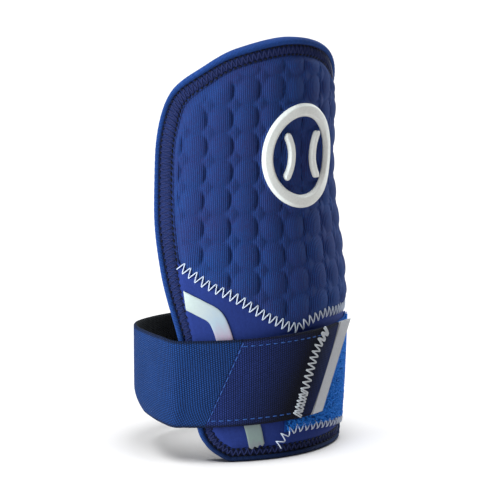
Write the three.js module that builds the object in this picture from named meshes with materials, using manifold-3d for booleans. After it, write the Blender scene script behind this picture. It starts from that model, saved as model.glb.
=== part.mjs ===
// Batting hand protector: a padded half-pipe shield that stands on its lower rim, with an elastic strap
// round its lower part. Millimetres, +Z up. The shield's middle faces -Y and its open side faces +Y.
//
// Every piece on the shield is laid out on its flat cutting pattern and then wrapped. A pattern position
// has an arc (to the right of the middle line) and a height above the floor, and a lift off the surface.
import * as THREE from "three";
import Module from "manifold-3d";

// Shield form
const PATTERN_RADIUS = 48;      // arc on the pattern = this radius times the wrap angle
const RADIUS_LOW = 49.6;        // radius of the outer surface at the wrist
const RADIUS_TOP = 42.6;        // and at the hand end
const TAPER_FROM = 54;          // heights between which the radius eases from one to the other
const TAPER_TO = 116;
const LEAN = 7 / 165;           // forward lean of the wrap axis, per height

// Wall, as lifts off the outer surface
const COVER_INNER = -2;
const CORE_OUTER = -2.5;
const CORE_INNER_MIDDLE = -8.6;
const CORE_INNER_EDGE = -5.2;
const CORE_FLAT_SHARE = 0.25;   // share of the way to the edge before the foam starts to thin
const LOWER_COVER_FACE = -0.2;
const GAP = 0.3;
const COVER_CLEARANCE = 0.6;    // between the covers and the lip of the binding

// Edge binding, a U-shaped tape over the rim
const BINDING_WIDTH = 7.4;
const BINDING_WIDTH_FOOT = 5.6; // narrower along the rim that it stands on
const FLANK_EXTRA = 3.4;        // and wider by this much along the left flank
const FLANK_LOW = { from: 46, to: 94 };     // heights between which the extra width comes
const FLANK_HIGH = { from: 128, to: 158 };  // and goes again
const BINDING_TAPE = 1.5;
const BINDING_FACE = -0.5;
const PIPING = { inset: 3.4, crestInset: 1.5, crestRise: 0.5, shoulderLift: -1.4 };
const BACK_ROUND = 1;           // rounding of the tape's inner edge
const LIP_SLOPE = 0.5;          // its inner lip leans this much towards the foam
const FOOT_FACING = 0.1;        // the tape narrows as the rim turns to the floor, from this much before level
const FOOT_DROP = 4.2;          // the inner lip reaches this much lower at the two corners that it stands on
const FOOT_DROP_FADE = 6;       // height over which that reach fades out
const FOOT_DROP_BELOW = -3;     // lift below which the tape counts as its inner lip

// Moulded cells of the upper cover
const CELL_ARC = 11.15;
const CELL_HEIGHT = 10.43;
const CELL_ARC_START = -2;
const CELL_HEIGHT_START = 69.4;
const CELL_DEPTH = 0.7;
const CELL_SIZE_SHIFT = 0.15;   // how much the main cushions outgrow those between them
const CELL_SAMPLES = 4;         // grid steps per cell, each way
const CELL_RANGE = { left: -6, right: 7, low: -3, high: 9 };

// Strap
const STRAP_BOTTOM = 14.3;
const STRAP_TOP = 48.2;
const STRAP_RISE = 0.04;        // rise of the band per arc, to the right
const STRAP_RISE_FROM = -38;
const STRAP_THICK = 1.6;
const STRAP_LIFT = 2.3;         // middle of the band above the outer surface
const STRAP_CURL = 3.2;         // inward curl of the lower edge at the left bend
const STRAP_CURL_SHARE = 0.28;  // share of the band's width that curls
const STRAP_SHARES = [0, 0.1, STRAP_CURL_SHARE, 0.64, 1];
const STRAP_LOOP_MIDDLE = { x: 0, y: -10 };

// Label
const LABEL_THICK = 1;
const LABEL_LIFT = 2.9;         // of its corners, so that its straight edge clears the round shield
const LABEL_WIDTH = 6.6;
const LABEL_FOOT = 0.4;         // its lower corner above the strap's lower edge
const LABEL_TILT = { rise: 1, lift: 0.3 };

// Loop patch, strip and emblem
const PATCH_THICK = 1.1;
const STRIP_THICK = 0.5;
const STRIP_WIDTH = 6.1;
const EMBLEM = { arc: 2, height: 116.8, radius: 17.5, stroke: 5, low: 1.2, high: 2.6, bevel: 0.8 };
const BALL_SEAM = { offset: 19.5, radius: 13.6, stroke: 3.4, halfAngle: 0.70 };

// Fineness of the pieces
const BINDING_STEPS = 76;
const WALL_RINGS = 6;
const PATCH_GRID = { columns: 14, rows: 5 };
const STRIP_GRID = { columns: 24, rows: 2 };
const STRAP_COLUMNS = 58;
const STRAP_END_GRID = { columns: 16, rows: 3 };
const EMBLEM_RING_STEPS = 44;
const BALL_SEAM_STEPS = 12;

// Fineness of the borders, and the middles that the walls' grids shrink to
const RING_PER_ROW = 24;        // points of the outline per row of its table
const RING_STRIDE = 8;          // the pieces keep every eighth point
const SEAM_STEP = 2.7;          // arc between the points along the seam
const SEAM_STEPS_EACH_WAY = 20;
const SEAM_END_CLEARANCE = 1;   // arc left free between the seam's points and the border's
const CROSSOVER_SLACK = 0.25;   // a moved point nearer to the edge than its inset less this has crossed over
const CUTTER_LIFT = 3;          // the block that cuts the quilted sheet stands above its cushions
const SHEET_OVERLAP = 1;        // and the sheet reaches this far below that block
const CORE_CENTRE = new THREE.Vector2(0, 84);
const UPPER_CENTRE = new THREE.Vector2(0, 104);
const LOWER_CENTRE = new THREE.Vector2(0, 32);

// Outer edge of the shield on the pattern, anticlockwise from the lower left corner
const OUTLINE = [
  { arc: -38.6, height: 7 },
  { arc: -33.4, height: 2.4 },
  { arc: -26, height: -0.3 },
  { arc: 0, height: 0 },
  { arc: 32, height: -0.3 },
  { arc: 39.4, height: 7 },
  { arc: 42.6, height: 15 },
  { arc: 50.1, height: 48 },
  { arc: 58, height: 74 },
  { arc: 62, height: 98 },
  { arc: 62.5, height: 117 },
  { arc: 56, height: 133 },
  { arc: 44, height: 145 },
  { arc: 21.5, height: 157.6 },
  { arc: -3.4, height: 162 },
  { arc: -29.2, height: 158 },
  { arc: -44.6, height: 151.2 },
  { arc: -59.9, height: 140.8 },
  { arc: -66.6, height: 122 },
  { arc: -65.4, height: 96.6 },
  { arc: -59, height: 73.7 },
  { arc: -50.1, height: 48 },
  { arc: -41.9, height: 14 },
];

// V-shaped seam between the two covers
const SEAM = [
  { arc: -70, height: 89 },
  { arc: -51.5, height: 77 },
  { arc: -40.6, height: 70.2 },
  { arc: -27.4, height: 63.8 },
  { arc: -17, height: 57 },
  { arc: -6.9, height: 51.9 },
  { arc: -2.8, height: 50.9 },
  { arc: 3.3, height: 53.4 },
  { arc: 11.7, height: 55 },
  { arc: 32.5, height: 54.2 },
  { arc: 70, height: 56 },
];

// Bent reflective strip, its middle line
const STRIP = [
  { arc: -47.4, height: 63.1 },
  { arc: -41, height: 60.1 },
  { arc: -36, height: 57.2 },
  { arc: -33.5, height: 52.8 },
  { arc: -31.4, height: 46.4 },
  { arc: -26.4, height: 31 },
  { arc: -20.5, height: 13.2 },
  { arc: -19.0, height: 7.2 },
];

// Loop patch: its lower edge, its left line, and the arcs of its right line at both edges
const PATCH_LOW = [
  { arc: -8, height: 10.2 },
  { arc: 3, height: 11.4 },
  { arc: 20, height: 10.6 },
  { arc: 46, height: 8.4 },
];
const PATCH = { left: -7.5, rightLow: 32.5, rightHigh: 42.5, belowStrapTop: 1 };

// The strap's end sewn inside the right edge, as arcs at one lift
const STRAP_SEWN_ARCS = [31, 36, 41, 45.5, 49.5];
const STRAP_SEWN_LIFT = -8.1;

// The strap in plan, from the right edge round the back to the left edge of the shield
const STRAP_PLAN = [
  { x: 38, y: -13.5, curl: 0 },
  { x: 37.6, y: -3, curl: 0 },
  { x: 33, y: 6.2, curl: 0 },
  { x: 24, y: 13.4, curl: 0 },
  { x: 11.5, y: 17.2, curl: 0 },
  { x: -3, y: 18.2, curl: 0 },
  { x: -17.5, y: 17.2, curl: 0.5 },
  { x: -30.8, y: 12.2, curl: 1 },
  { x: -38, y: 3.2, curl: 1 },
  { x: -42, y: -9, curl: 0.5 },
  { x: -44.3, y: -19.4, curl: 0.1 },
];
const STRAP_FRONT_ARCS = [-49.5, -45.6, -41.9];

// Slanted lines across the strap: arc at its lower and at its upper edge
const STRAP_JOINT = { low: -38.3, high: -25.5 };
const STRAP_TIP = { low: 2.2, high: 18.2 };

// Colours
const LOOKS = {
  padded_core: { color: 0x15171f, roughness: 0.95 },
  quilted_cover: { color: 0x2c407a, roughness: 0.8 },
  lower_cover: { color: 0x2a3a78, roughness: 0.75 },
  edge_binding: { color: 0x2c4278, roughness: 0.8 },
  loop_patch: { color: 0x2864b4, roughness: 0.95 },
  reflective_strip: { color: 0xc9cbd2, roughness: 0.35 },
  strap_elastic: { color: 0x2c4680, roughness: 0.9 },
  strap_end: { color: 0x24305c, roughness: 0.85 },
  pull_label: { color: 0xa9abb2, roughness: 0.6 },
  emblem_ring: { color: 0xe6e6e0, roughness: 0.5 },
  emblem_seam_left: { color: 0xe6e6e0, roughness: 0.5 },
  emblem_seam_right: { color: 0xe6e6e0, roughness: 0.5 },
};

function ease(share) {
  const t = Math.min(1, Math.max(0, share));
  return t * t * (3 - 2 * t);
}

function mix(a, b, t) {
  return a + (b - a) * t;
}

// Wraps a pattern position: the outer surface, lifted along its normal
function wrap(arc, height, lift) {
  const angle = arc / PATTERN_RADIUS;
  const taper = ease((height - TAPER_FROM) / (TAPER_TO - TAPER_FROM));
  const radius = mix(RADIUS_LOW, RADIUS_TOP, taper) + lift;
  return new THREE.Vector3(radius * Math.sin(angle), -radius * Math.cos(angle) - LEAN * height, height);
}

// Smooth curve through points, with tangents from the neighbours on a centripetal spacing
function smoothCurve(points, closed) {
  const count = points.length;
  const at = (i) => points[closed ? (i + count) % count : Math.min(count - 1, Math.max(0, i))];
  const step = (i) => Math.sqrt(Math.max(at(i + 1).distanceTo(at(i)), 1e-6));
  const slope = (i) => {
    const before = at(i - 1);
    const after = at(i + 1);
    const span = (closed || i > 0 ? step(i - 1) : 0) + (closed || i < count - 1 ? step(i) : 0);
    return after.clone().sub(before).divideScalar(span);
  };
  return (s) => {
    const i = Math.min(Math.floor(s), closed ? count : count - 2);
    const t = s - i;
    const h = step(i);
    const p = at(i).clone().multiplyScalar(1 - ease(t));
    p.addScaledVector(at(i + 1), ease(t));
    p.addScaledVector(slope(i), h * t * (1 - t) * (1 - t));
    p.addScaledVector(slope(i + 1), -h * t * t * (1 - t));
    return p;
  };
}

// Height of a table's line at an arc, straight between its rows
function tableHeight(rows, arc) {
  const last = rows.length - 2;
  let i = 0;
  while (i < last && arc > rows[i + 1].arc) i += 1;
  const t = (arc - rows[i].arc) / (rows[i + 1].arc - rows[i].arc);
  return mix(rows[i].height, rows[i + 1].height, t);
}

// The outline as a dense ring of points with inward normals, on the pattern
const outlineCurve = smoothCurve(OUTLINE.map((row) => new THREE.Vector2(row.arc, row.height)), true);
const ringCount = OUTLINE.length * RING_PER_ROW;
const ring = Array.from({ length: ringCount }, (_, k) => {
  const point = outlineCurve(k / RING_PER_ROW);
  point.y = Math.max(0, point.y);
  return point;
});
const ringInward = ring.map((_, k) => {
  const before = ring[(k - 1 + ringCount) % ringCount];
  const after = ring[(k + 1) % ringCount];
  const along = after.clone().sub(before).normalize();
  return new THREE.Vector2(-along.y, along.x);
});

// Width of the binding at a point of the ring: narrower where the rim faces the floor, wider on the left
function flankExtra(p) {
  const come = ease((p.y - FLANK_LOW.from) / (FLANK_LOW.to - FLANK_LOW.from));
  const go = ease((p.y - FLANK_HIGH.from) / (FLANK_HIGH.to - FLANK_HIGH.from));
  return p.x < 0 ? FLANK_EXTRA * come * (1 - go) : 0;
}
function bindingWidth(k) {
  const plain = mix(BINDING_WIDTH, BINDING_WIDTH_FOOT, ease(ringInward[k].y + FOOT_FACING));
  return plain + flankExtra(ring[k]);
}

// The ring moved inward by a distance, without the points that cross over in tight corners
function insetRing(insetAt) {
  const moved = ring.map((p, k) => p.clone().addScaledVector(ringInward[k], insetAt(k)));
  return moved.filter((p, k) => ring.every((q) => q.distanceTo(p) > insetAt(k) - CROSSOVER_SLACK));
}
function thinOut(points) {
  return points.filter((_, k) => k % RING_STRIDE === 0 || k === points.length - 1);
}

// Border of the cover above or below the seam, closed along the seam
function coverBorder(above) {
  const clearance = above ? GAP / 2 : -GAP / 2;
  const seamAt = (arc) => tableHeight(SEAM, arc) + clearance;
  const edge = insetRing((k) => bindingWidth(k) + COVER_CLEARANCE);
  const inside = edge.map((p) => (above ? p.y > seamAt(p.x) : p.y < seamAt(p.x)));
  const count = edge.length;
  const first = inside.findIndex((here, k) => here && !inside[(k - 1 + count) % count]);
  const run = [];
  for (let k = first; inside[k % count]; k += 1) run.push(edge[k % count]);
  const seamPoints = 2 * SEAM_STEPS_EACH_WAY + 1;
  const arcs = Array.from({ length: seamPoints }, (_, k) => (k - SEAM_STEPS_EACH_WAY) * SEAM_STEP);
  const [low, high] = [run[0].x, run[run.length - 1].x].sort((x, y) => x - y);
  const seam = arcs.filter((arc) => arc > low + SEAM_END_CLEARANCE && arc < high - SEAM_END_CLEARANCE);
  if (!above) seam.reverse();
  return [...thinOut(run), ...seam.map((arc) => new THREE.Vector2(arc, seamAt(arc)))];
}

// Height of the moulded cells: rows and columns of cushions with smaller ones between them
function cellRelief(arc, height) {
  const across = Math.cos((2 * Math.PI * (arc - CELL_ARC_START)) / CELL_ARC);
  const up = Math.cos((2 * Math.PI * (height - CELL_HEIGHT_START)) / CELL_HEIGHT);
  return CELL_DEPTH * (across * up + CELL_SIZE_SHIFT * (across + up));
}

// Closed body between an outer and an inner grid of points, rows of v with columns of u
function closedWall(outer, inner) {
  const rows = outer.length;
  const columns = outer[0].length;
  const corners = [...outer.flat(), ...inner.flat()];
  const faces = [];
  const quad = (a, b, c, d) => faces.push(a, b, c, a, c, d);
  const o = (j, i) => j * columns + i;
  const n = (j, i) => rows * columns + j * columns + i;
  for (let j = 0; j + 1 < rows; j += 1) {
    for (let i = 0; i + 1 < columns; i += 1) {
      if ((i + j) % 2) quad(o(j, i), o(j, i + 1), o(j + 1, i + 1), o(j + 1, i));
      else quad(o(j, i + 1), o(j + 1, i + 1), o(j + 1, i), o(j, i));
      quad(n(j, i), n(j + 1, i), n(j + 1, i + 1), n(j, i + 1));
    }
  }
  for (let i = 0; i + 1 < columns; i += 1) {
    quad(n(0, i), n(0, i + 1), o(0, i + 1), o(0, i));
    quad(o(rows - 1, i), o(rows - 1, i + 1), n(rows - 1, i + 1), n(rows - 1, i));
  }
  for (let j = 0; j + 1 < rows; j += 1) {
    quad(o(j, 0), o(j + 1, 0), n(j + 1, 0), n(j, 0));
    quad(n(j, columns - 1), n(j + 1, columns - 1), o(j + 1, columns - 1), o(j, columns - 1));
  }
  return body(corners, faces);
}

// Closed ring: a closed section carried round a closed path
function closedRing(sections) {
  const count = sections.length;
  const size = sections[0].length;
  const faces = [];
  for (let k = 0; k < count; k += 1) {
    for (let i = 0; i < size; i += 1) {
      const a = k * size + i;
      const b = k * size + ((i + 1) % size);
      const c = ((k + 1) % count) * size + ((i + 1) % size);
      const d = ((k + 1) % count) * size + i;
      faces.push(a, b, c, a, c, d);
    }
  }
  return body(sections.flat(), faces);
}

// Open bar: a closed section carried along a path, with flat ends (the section is convex)
function closedBar(sections) {
  const count = sections.length;
  const size = sections[0].length;
  const faces = [];
  for (let k = 0; k + 1 < count; k += 1) {
    for (let i = 0; i < size; i += 1) {
      const a = k * size + i;
      const b = k * size + ((i + 1) % size);
      faces.push(a, b, b + size, a, b + size, a + size);
    }
  }
  for (let i = 1; i + 1 < size; i += 1) {
    const e = (count - 1) * size;
    faces.push(0, i + 1, i, e, e + i, e + i + 1);
  }
  return body(sections.flat(), faces);
}

// Geometry of corners and faces, turned to face outward
function body(corners, faces) {
  const volume = faces.reduce((sum, _, f) => {
    if (f % 3) return sum;
    const [a, b, c] = [corners[faces[f]], corners[faces[f + 1]], corners[faces[f + 2]]];
    return sum + a.dot(b.clone().cross(c));
  }, 0);
  const order = volume > 0 ? faces : faces.slice().reverse();
  const geometry = new THREE.BufferGeometry();
  geometry.setAttribute("position", new THREE.Float32BufferAttribute(corners.flatMap((p) => p.toArray()), 3));
  geometry.setIndex(order);
  geometry.computeVertexNormals();
  return geometry;
}

// What two closed bodies have in common
const { Manifold, Mesh } = await Module().then((wasm) => {
  wasm.setup();
  return wasm;
});
function common(a, b) {
  const [first, second] = [a, b].map((geometry) => new Manifold(new Mesh({
    numProp: 3,
    vertProperties: new Float32Array(geometry.getAttribute("position").array),
    triVerts: new Uint32Array(geometry.getIndex().array),
  })));
  const mesh = first.intersect(second).getMesh();
  const geometry = new THREE.BufferGeometry();
  geometry.setAttribute("position", new THREE.Float32BufferAttribute(mesh.vertProperties, 3));
  geometry.setIndex([...mesh.triVerts]);
  geometry.computeVertexNormals();
  return geometry;
}

// Even grid of a function of u and v
function grid(columns, rows, point) {
  return Array.from({ length: rows + 1 }, (_, j) =>
    Array.from({ length: columns + 1 }, (_, i) => point(i / columns, j / rows)));
}

// Wall whose pattern is a function of u and v, between two lifts
function patternWall({ columns, rows }, pattern, outerLift, innerLift) {
  const skin = (lift) => grid(columns, rows, (u, v) => {
    const p = pattern(u, v);
    return wrap(p.x, p.y, lift(p, u, v));
  });
  return closedWall(skin(outerLift), skin(innerLift));
}

// Wall inside a border on the pattern, between two lifts: rings that shrink to a centre
function borderWall(border, centre, rings, outerLift, innerLift) {
  const corners = [];
  const faces = [];
  const spokes = border.length;
  [outerLift, innerLift].forEach((lift, skin) => {
    const start = corners.length;
    const flip = skin ? [1, 0] : [0, 1];
    corners.push(wrap(centre.x, centre.y, lift(0)));
    for (let r = 1; r <= rings; r += 1) {
      border.forEach((p) => {
        const q = centre.clone().lerp(p, r / rings);
        corners.push(wrap(q.x, q.y, lift(r / rings)));
      });
    }
    for (let i = 0; i < spokes; i += 1) {
      const pair = [i, (i + 1) % spokes];
      const [a, b] = [pair[flip[0]], pair[flip[1]]];
      faces.push(start, start + 1 + a, start + 1 + b);
      for (let r = 0; r + 1 < rings; r += 1) {
        const low = start + 1 + r * spokes;
        const high = low + spokes;
        faces.push(low + a, high + a, high + b, low + a, high + b, low + b);
      }
    }
  });
  const rim = 1 + (rings - 1) * spokes;
  const under = 1 + rings * spokes;
  for (let i = 0; i < spokes; i += 1) {
    const [a, b] = [rim + i, rim + ((i + 1) % spokes)];
    faces.push(a, under + a, under + b, a, under + b, b);
  }
  return body(corners, faces);
}

function makeCore() {
  const border = thinOut(insetRing(() => BINDING_TAPE + GAP)).slice(0, -1);
  const thin = (share) => ease((share - CORE_FLAT_SHARE) / (1 - CORE_FLAT_SHARE));
  const inner = (share) => mix(CORE_INNER_MIDDLE, CORE_INNER_EDGE, thin(share));
  return borderWall(border, CORE_CENTRE, WALL_RINGS, () => CORE_OUTER, inner);
}

// A sheet with the cells, on a grid that follows them, cut to the cover's border
function makeQuiltedCover() {
  const block = borderWall(coverBorder(true), UPPER_CENTRE, WALL_RINGS, () => CUTTER_LIFT, () => COVER_INNER);
  const { left, right, low, high } = CELL_RANGE;
  const cells = (u, v) => new THREE.Vector2(
    CELL_ARC_START + CELL_ARC * mix(left, right, u),
    CELL_HEIGHT_START + CELL_HEIGHT * mix(low, high, v));
  const steps = { columns: (right - left) * CELL_SAMPLES, rows: (high - low) * CELL_SAMPLES };
  const sheet = patternWall(steps, cells,
    (p) => cellRelief(p.x, p.y), () => COVER_INNER - SHEET_OVERLAP);
  return common(sheet, block);
}

function makeLowerCover() {
  return borderWall(coverBorder(false), LOWER_CENTRE, WALL_RINGS, () => LOWER_COVER_FACE, () => COVER_INNER);
}

// Section of the binding as inset from the edge and lift, round the U from its outer lip
function bindingSection(width) {
  const inside = CORE_INNER_EDGE - GAP;
  const back = inside - BINDING_TAPE;
  return [
    { inset: width, lift: CORE_OUTER + GAP },
    { inset: width, lift: BINDING_FACE },
    { inset: PIPING.inset, lift: BINDING_FACE },
    { inset: PIPING.crestInset, lift: BINDING_FACE + PIPING.crestRise },
    { inset: 0, lift: PIPING.shoulderLift },
    { inset: 0, lift: back + BACK_ROUND },
    { inset: BACK_ROUND, lift: back },
    { inset: width, lift: back },
    { inset: width, lift: inside - LIP_SLOPE },
    { inset: BINDING_TAPE, lift: inside },
    { inset: BINDING_TAPE, lift: CORE_OUTER + GAP },
  ];
}

// How far the inner lip hangs below the outer one, for an edge at a height
function footDrop(height, lift) {
  const reach = Math.min(height, FOOT_DROP) * (1 - ease((height - FOOT_DROP) / FOOT_DROP_FADE));
  return lift < FOOT_DROP_BELOW ? reach : 0;
}

function makeBinding() {
  const sections = [];
  for (let k = 0; k < BINDING_STEPS; k += 1) {
    const index = Math.round((k * ringCount) / BINDING_STEPS) % ringCount;
    sections.push(bindingSection(bindingWidth(index)).map((row) => {
      const p = ring[index].clone().addScaledVector(ringInward[index], row.inset);
      const drop = footDrop(ring[index].y, row.lift);
      return wrap(p.x, Math.max(0, p.y - drop), row.lift);
    }));
  }
  return closedRing(sections);
}

function makeLoopPatch() {
  const pattern = (u, v) => {
    const arc = mix(PATCH.left, mix(PATCH.rightLow, PATCH.rightHigh, v), u);
    const high = strapHeight(arc, 1) - PATCH.belowStrapTop;
    return new THREE.Vector2(arc, mix(tableHeight(PATCH_LOW, arc), high, v));
  };
  const low = LOWER_COVER_FACE + GAP;
  return patternWall(PATCH_GRID, pattern, () => low + PATCH_THICK, () => low);
}

// Band of even width along a middle line on the pattern
function makeStrip() {
  const middle = smoothCurve(STRIP.map((row) => new THREE.Vector2(row.arc, row.height)), false);
  const last = STRIP.length - 1;
  const pattern = (u, v) => {
    const s = u * last;
    const nudge = 0.05;
    const along = middle(Math.min(last, s + nudge)).sub(middle(Math.max(0, s - nudge))).normalize();
    const across = new THREE.Vector2(-along.y, along.x);
    return middle(Math.min(s, last - 1e-6)).addScaledVector(across, (v - 0.5) * STRIP_WIDTH);
  };
  const low = LOWER_COVER_FACE + GAP;
  return patternWall(STRIP_GRID, pattern, () => low + STRIP_THICK, () => low);
}

// Height on the strap at a share of its width, at an arc on the front
function strapHeight(arc, share) {
  return mix(STRAP_BOTTOM, STRAP_TOP, share) + STRAP_RISE * (arc - STRAP_RISE_FROM);
}

// Both skins of a band whose middle surface is a grid
function thicken(middle, half) {
  const rows = middle.length;
  const columns = middle[0].length;
  const skin = (sign) => middle.map((row, j) => row.map((p, i) => {
    const along = row[Math.min(i + 1, columns - 1)].clone().sub(row[Math.max(i - 1, 0)]);
    const up = middle[Math.min(j + 1, rows - 1)][i].clone().sub(middle[Math.max(j - 1, 0)][i]);
    const normal = along.cross(up).normalize();
    return p.clone().addScaledVector(normal, sign * half);
  }));
  return closedWall(skin(1), skin(-1));
}

// The strap runs on smoothly from its sewn end, round the loop and along the shield to the slanted joint
function makeStrap() {
  const middle = STRAP_SHARES.map((share) => {
    const curl = STRAP_CURL * Math.max(0, 1 - share / STRAP_CURL_SHARE) ** 2;
    const height = strapHeight(STRAP_RISE_FROM, share);
    const sewn = STRAP_SEWN_ARCS.map((arc) => wrap(arc, height, STRAP_SEWN_LIFT));
    const free = STRAP_PLAN.map((row) => {
      const inward = new THREE.Vector3(STRAP_LOOP_MIDDLE.x - row.x, STRAP_LOOP_MIDDLE.y - row.y, 0);
      inward.setLength(curl * row.curl + 1e-9);
      return new THREE.Vector3(row.x, row.y, height).add(inward);
    });
    const first = STRAP_FRONT_ARCS[0];
    const joint = mix(STRAP_JOINT.low, STRAP_JOINT.high, share) - GAP / 2;
    const reach = (joint - first) / (STRAP_JOINT.low - first);
    const arcs = [...STRAP_FRONT_ARCS.map((arc) => first + (arc - first) * reach), joint];
    const front = arcs.map((arc) => wrap(arc, strapHeight(arc, share), STRAP_LIFT));
    const points = [...sewn, ...free, ...front];
    const curve = smoothCurve(points, false);
    const last = points.length - 1;
    return Array.from({ length: STRAP_COLUMNS + 1 }, (_, i) => curve((i / STRAP_COLUMNS) * last));
  });
  return thicken(middle, STRAP_THICK / 2);
}

function makeStrapEnd() {
  const pattern = (u, v) => {
    const from = mix(STRAP_JOINT.low, STRAP_JOINT.high, v) + GAP / 2;
    const to = mix(STRAP_TIP.low, STRAP_TIP.high, v);
    const arc = mix(from, to, u);
    return new THREE.Vector2(arc, strapHeight(arc, v));
  };
  const half = STRAP_THICK / 2;
  return patternWall(STRAP_END_GRID, pattern, () => STRAP_LIFT + half, () => STRAP_LIFT - half);
}

// Flat stiff tab that goes on straight from the strap's slanted end
function makeLabel() {
  const foot = strapHeight(STRAP_TIP.low, 0);
  const low = wrap(STRAP_TIP.low + GAP, foot + LABEL_FOOT, LABEL_LIFT);
  const high = wrap(STRAP_TIP.high + GAP, strapHeight(STRAP_TIP.high, 1), LABEL_LIFT);
  const next = wrap(STRAP_TIP.low + LABEL_WIDTH, foot + LABEL_TILT.rise, LABEL_LIFT + LABEL_TILT.lift);
  const across = next.clone().sub(low).setLength(LABEL_WIDTH);
  const normal = across.clone().cross(high.clone().sub(low)).normalize();
  const corners = [low, low.clone().add(across), high.clone().add(across), high];
  const face = (lift) => corners.map((p) => p.clone().addScaledVector(normal, lift));
  return closedBar([face(-LABEL_THICK / 2), face(LABEL_THICK / 2)]);
}

// Raised bevelled stroke round a circle on the pattern, with its section at an angle
function strokeSection(centre, radius, stroke, angle) {
  const rows = [
    { across: -stroke / 2, lift: EMBLEM.low },
    { across: stroke / 2, lift: EMBLEM.low },
    { across: stroke / 2 - EMBLEM.bevel, lift: EMBLEM.high },
    { across: -stroke / 2 + EMBLEM.bevel, lift: EMBLEM.high },
  ];
  return rows.map((row) => {
    const r = radius + row.across;
    return wrap(centre.x + r * Math.cos(angle), centre.y + r * Math.sin(angle), row.lift);
  });
}

function makeEmblemRing() {
  const centre = new THREE.Vector2(EMBLEM.arc, EMBLEM.height);
  const sections = Array.from({ length: EMBLEM_RING_STEPS }, (_, k) =>
    strokeSection(centre, EMBLEM.radius, EMBLEM.stroke, (2 * Math.PI * k) / EMBLEM_RING_STEPS));
  return closedRing(sections);
}

function makeBallSeam(sideSign) {
  const centre = new THREE.Vector2(EMBLEM.arc + sideSign * BALL_SEAM.offset, EMBLEM.height);
  const facing = sideSign < 0 ? 0 : Math.PI;
  const sections = Array.from({ length: BALL_SEAM_STEPS + 1 }, (_, k) => {
    const angle = facing + BALL_SEAM.halfAngle * ((2 * k) / BALL_SEAM_STEPS - 1);
    return strokeSection(centre, BALL_SEAM.radius, BALL_SEAM.stroke, angle);
  });
  return closedBar(sections);
}

const shapes = {
  padded_core: makeCore(),
  quilted_cover: makeQuiltedCover(),
  lower_cover: makeLowerCover(),
  edge_binding: makeBinding(),
  loop_patch: makeLoopPatch(),
  reflective_strip: makeStrip(),
  strap_elastic: makeStrap(),
  strap_end: makeStrapEnd(),
  pull_label: makeLabel(),
  emblem_ring: makeEmblemRing(),
  emblem_seam_left: makeBallSeam(-1),
  emblem_seam_right: makeBallSeam(1),
};

// The part's origin is the middle of its box, on the floor
const box = new THREE.Box3();
Object.values(shapes).forEach((geometry) => {
  geometry.computeBoundingBox();
  box.union(geometry.boundingBox);
});
const middle = box.getCenter(new THREE.Vector3());

const part = new THREE.Group();
part.name = "batting_hand_protector";
for (const [name, geometry] of Object.entries(shapes)) {
  geometry.translate(-middle.x, -middle.y, -box.min.z);
  const { color, roughness } = LOOKS[name];
  const mesh = new THREE.Mesh(geometry, new THREE.MeshStandardMaterial({ color, roughness, metalness: 0 }));
  mesh.name = name;
  part.add(mesh);
}

export default part;
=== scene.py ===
# %% [markdown]
# A batter's hand protector
#
# This lesson dresses a plain CAD model of a batting hand protector: a padded half-pipe shield that stands
# on its rim, with an elastic strap round its lower part. Every fabric piece is a numpy surface laid out on
# the flat cutting pattern of the shield and then wrapped, as a maker would cut and sew it.

# %% Load the CAD frame
import bmesh
import bpy
import numpy as np
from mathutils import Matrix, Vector


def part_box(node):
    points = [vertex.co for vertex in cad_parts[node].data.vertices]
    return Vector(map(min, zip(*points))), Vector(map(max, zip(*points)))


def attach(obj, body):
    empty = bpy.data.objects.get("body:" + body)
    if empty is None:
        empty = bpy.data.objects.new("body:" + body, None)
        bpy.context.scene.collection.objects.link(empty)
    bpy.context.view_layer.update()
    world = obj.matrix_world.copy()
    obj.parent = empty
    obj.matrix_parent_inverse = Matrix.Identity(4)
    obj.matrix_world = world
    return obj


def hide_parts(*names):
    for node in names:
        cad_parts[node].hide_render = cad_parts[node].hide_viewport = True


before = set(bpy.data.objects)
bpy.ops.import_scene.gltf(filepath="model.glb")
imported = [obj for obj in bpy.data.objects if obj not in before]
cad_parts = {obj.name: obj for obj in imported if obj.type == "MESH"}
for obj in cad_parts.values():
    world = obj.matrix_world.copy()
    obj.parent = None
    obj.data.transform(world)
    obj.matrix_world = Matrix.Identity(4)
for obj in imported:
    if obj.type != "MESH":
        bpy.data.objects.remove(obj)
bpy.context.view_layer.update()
print("CAD nodes:", sorted(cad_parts))

# %% [markdown]
# The cutting pattern
#
# A place on the shield has an arc (millimetres to the right of the middle line), a height above the floor
# and a lift off the outer surface. Wrapping bends that flat pattern round a leaning cylinder with a waist,
# wide at the wrist and slimmer at the hand end. The same few numbers drive the CAD solids, so each dressed
# piece lands where its solid is.

# %% Pattern numbers and the wrap
MM = 0.001
PATTERN_RADIUS = 48.0
RADIUS_LOW = 49.6
RADIUS_TOP = 42.6
TAPER_FROM = 54.0
TAPER_TO = 116.0
LEAN = 7.0 / 165.0


def ease(share):
    """Smooth step: three times the square minus twice the cube of a share held between 0 and 1."""
    t = np.clip(share, 0, 1)
    return t * t * (3 - 2 * t)


def between(value, start, end):
    """Smooth step from 0 at the start to 1 at the end."""
    return ease((value - start) / (end - start))


def mix(a, b, t):
    """Straight mix: the first value plus a share of the way to the second."""
    return a + (b - a) * t


def unit(vectors):
    """Vectors divided by their lengths."""
    return vectors / np.maximum(np.linalg.norm(vectors, axis=-1, keepdims=True), 1e-12)


def wrap_mm(arc, height, lift):
    """Angle is the arc over the pattern radius; the radius eases from the wrist's to the hand end's, plus the
    lift; the axis leans forward with height."""
    arc, height, lift = np.broadcast_arrays(arc, height, lift)
    angle = arc / PATTERN_RADIUS
    radius = mix(RADIUS_LOW, RADIUS_TOP, between(height, TAPER_FROM, TAPER_TO)) + lift
    return np.stack([radius * np.sin(angle), -radius * np.cos(angle) - LEAN * height, height], -1)


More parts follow.
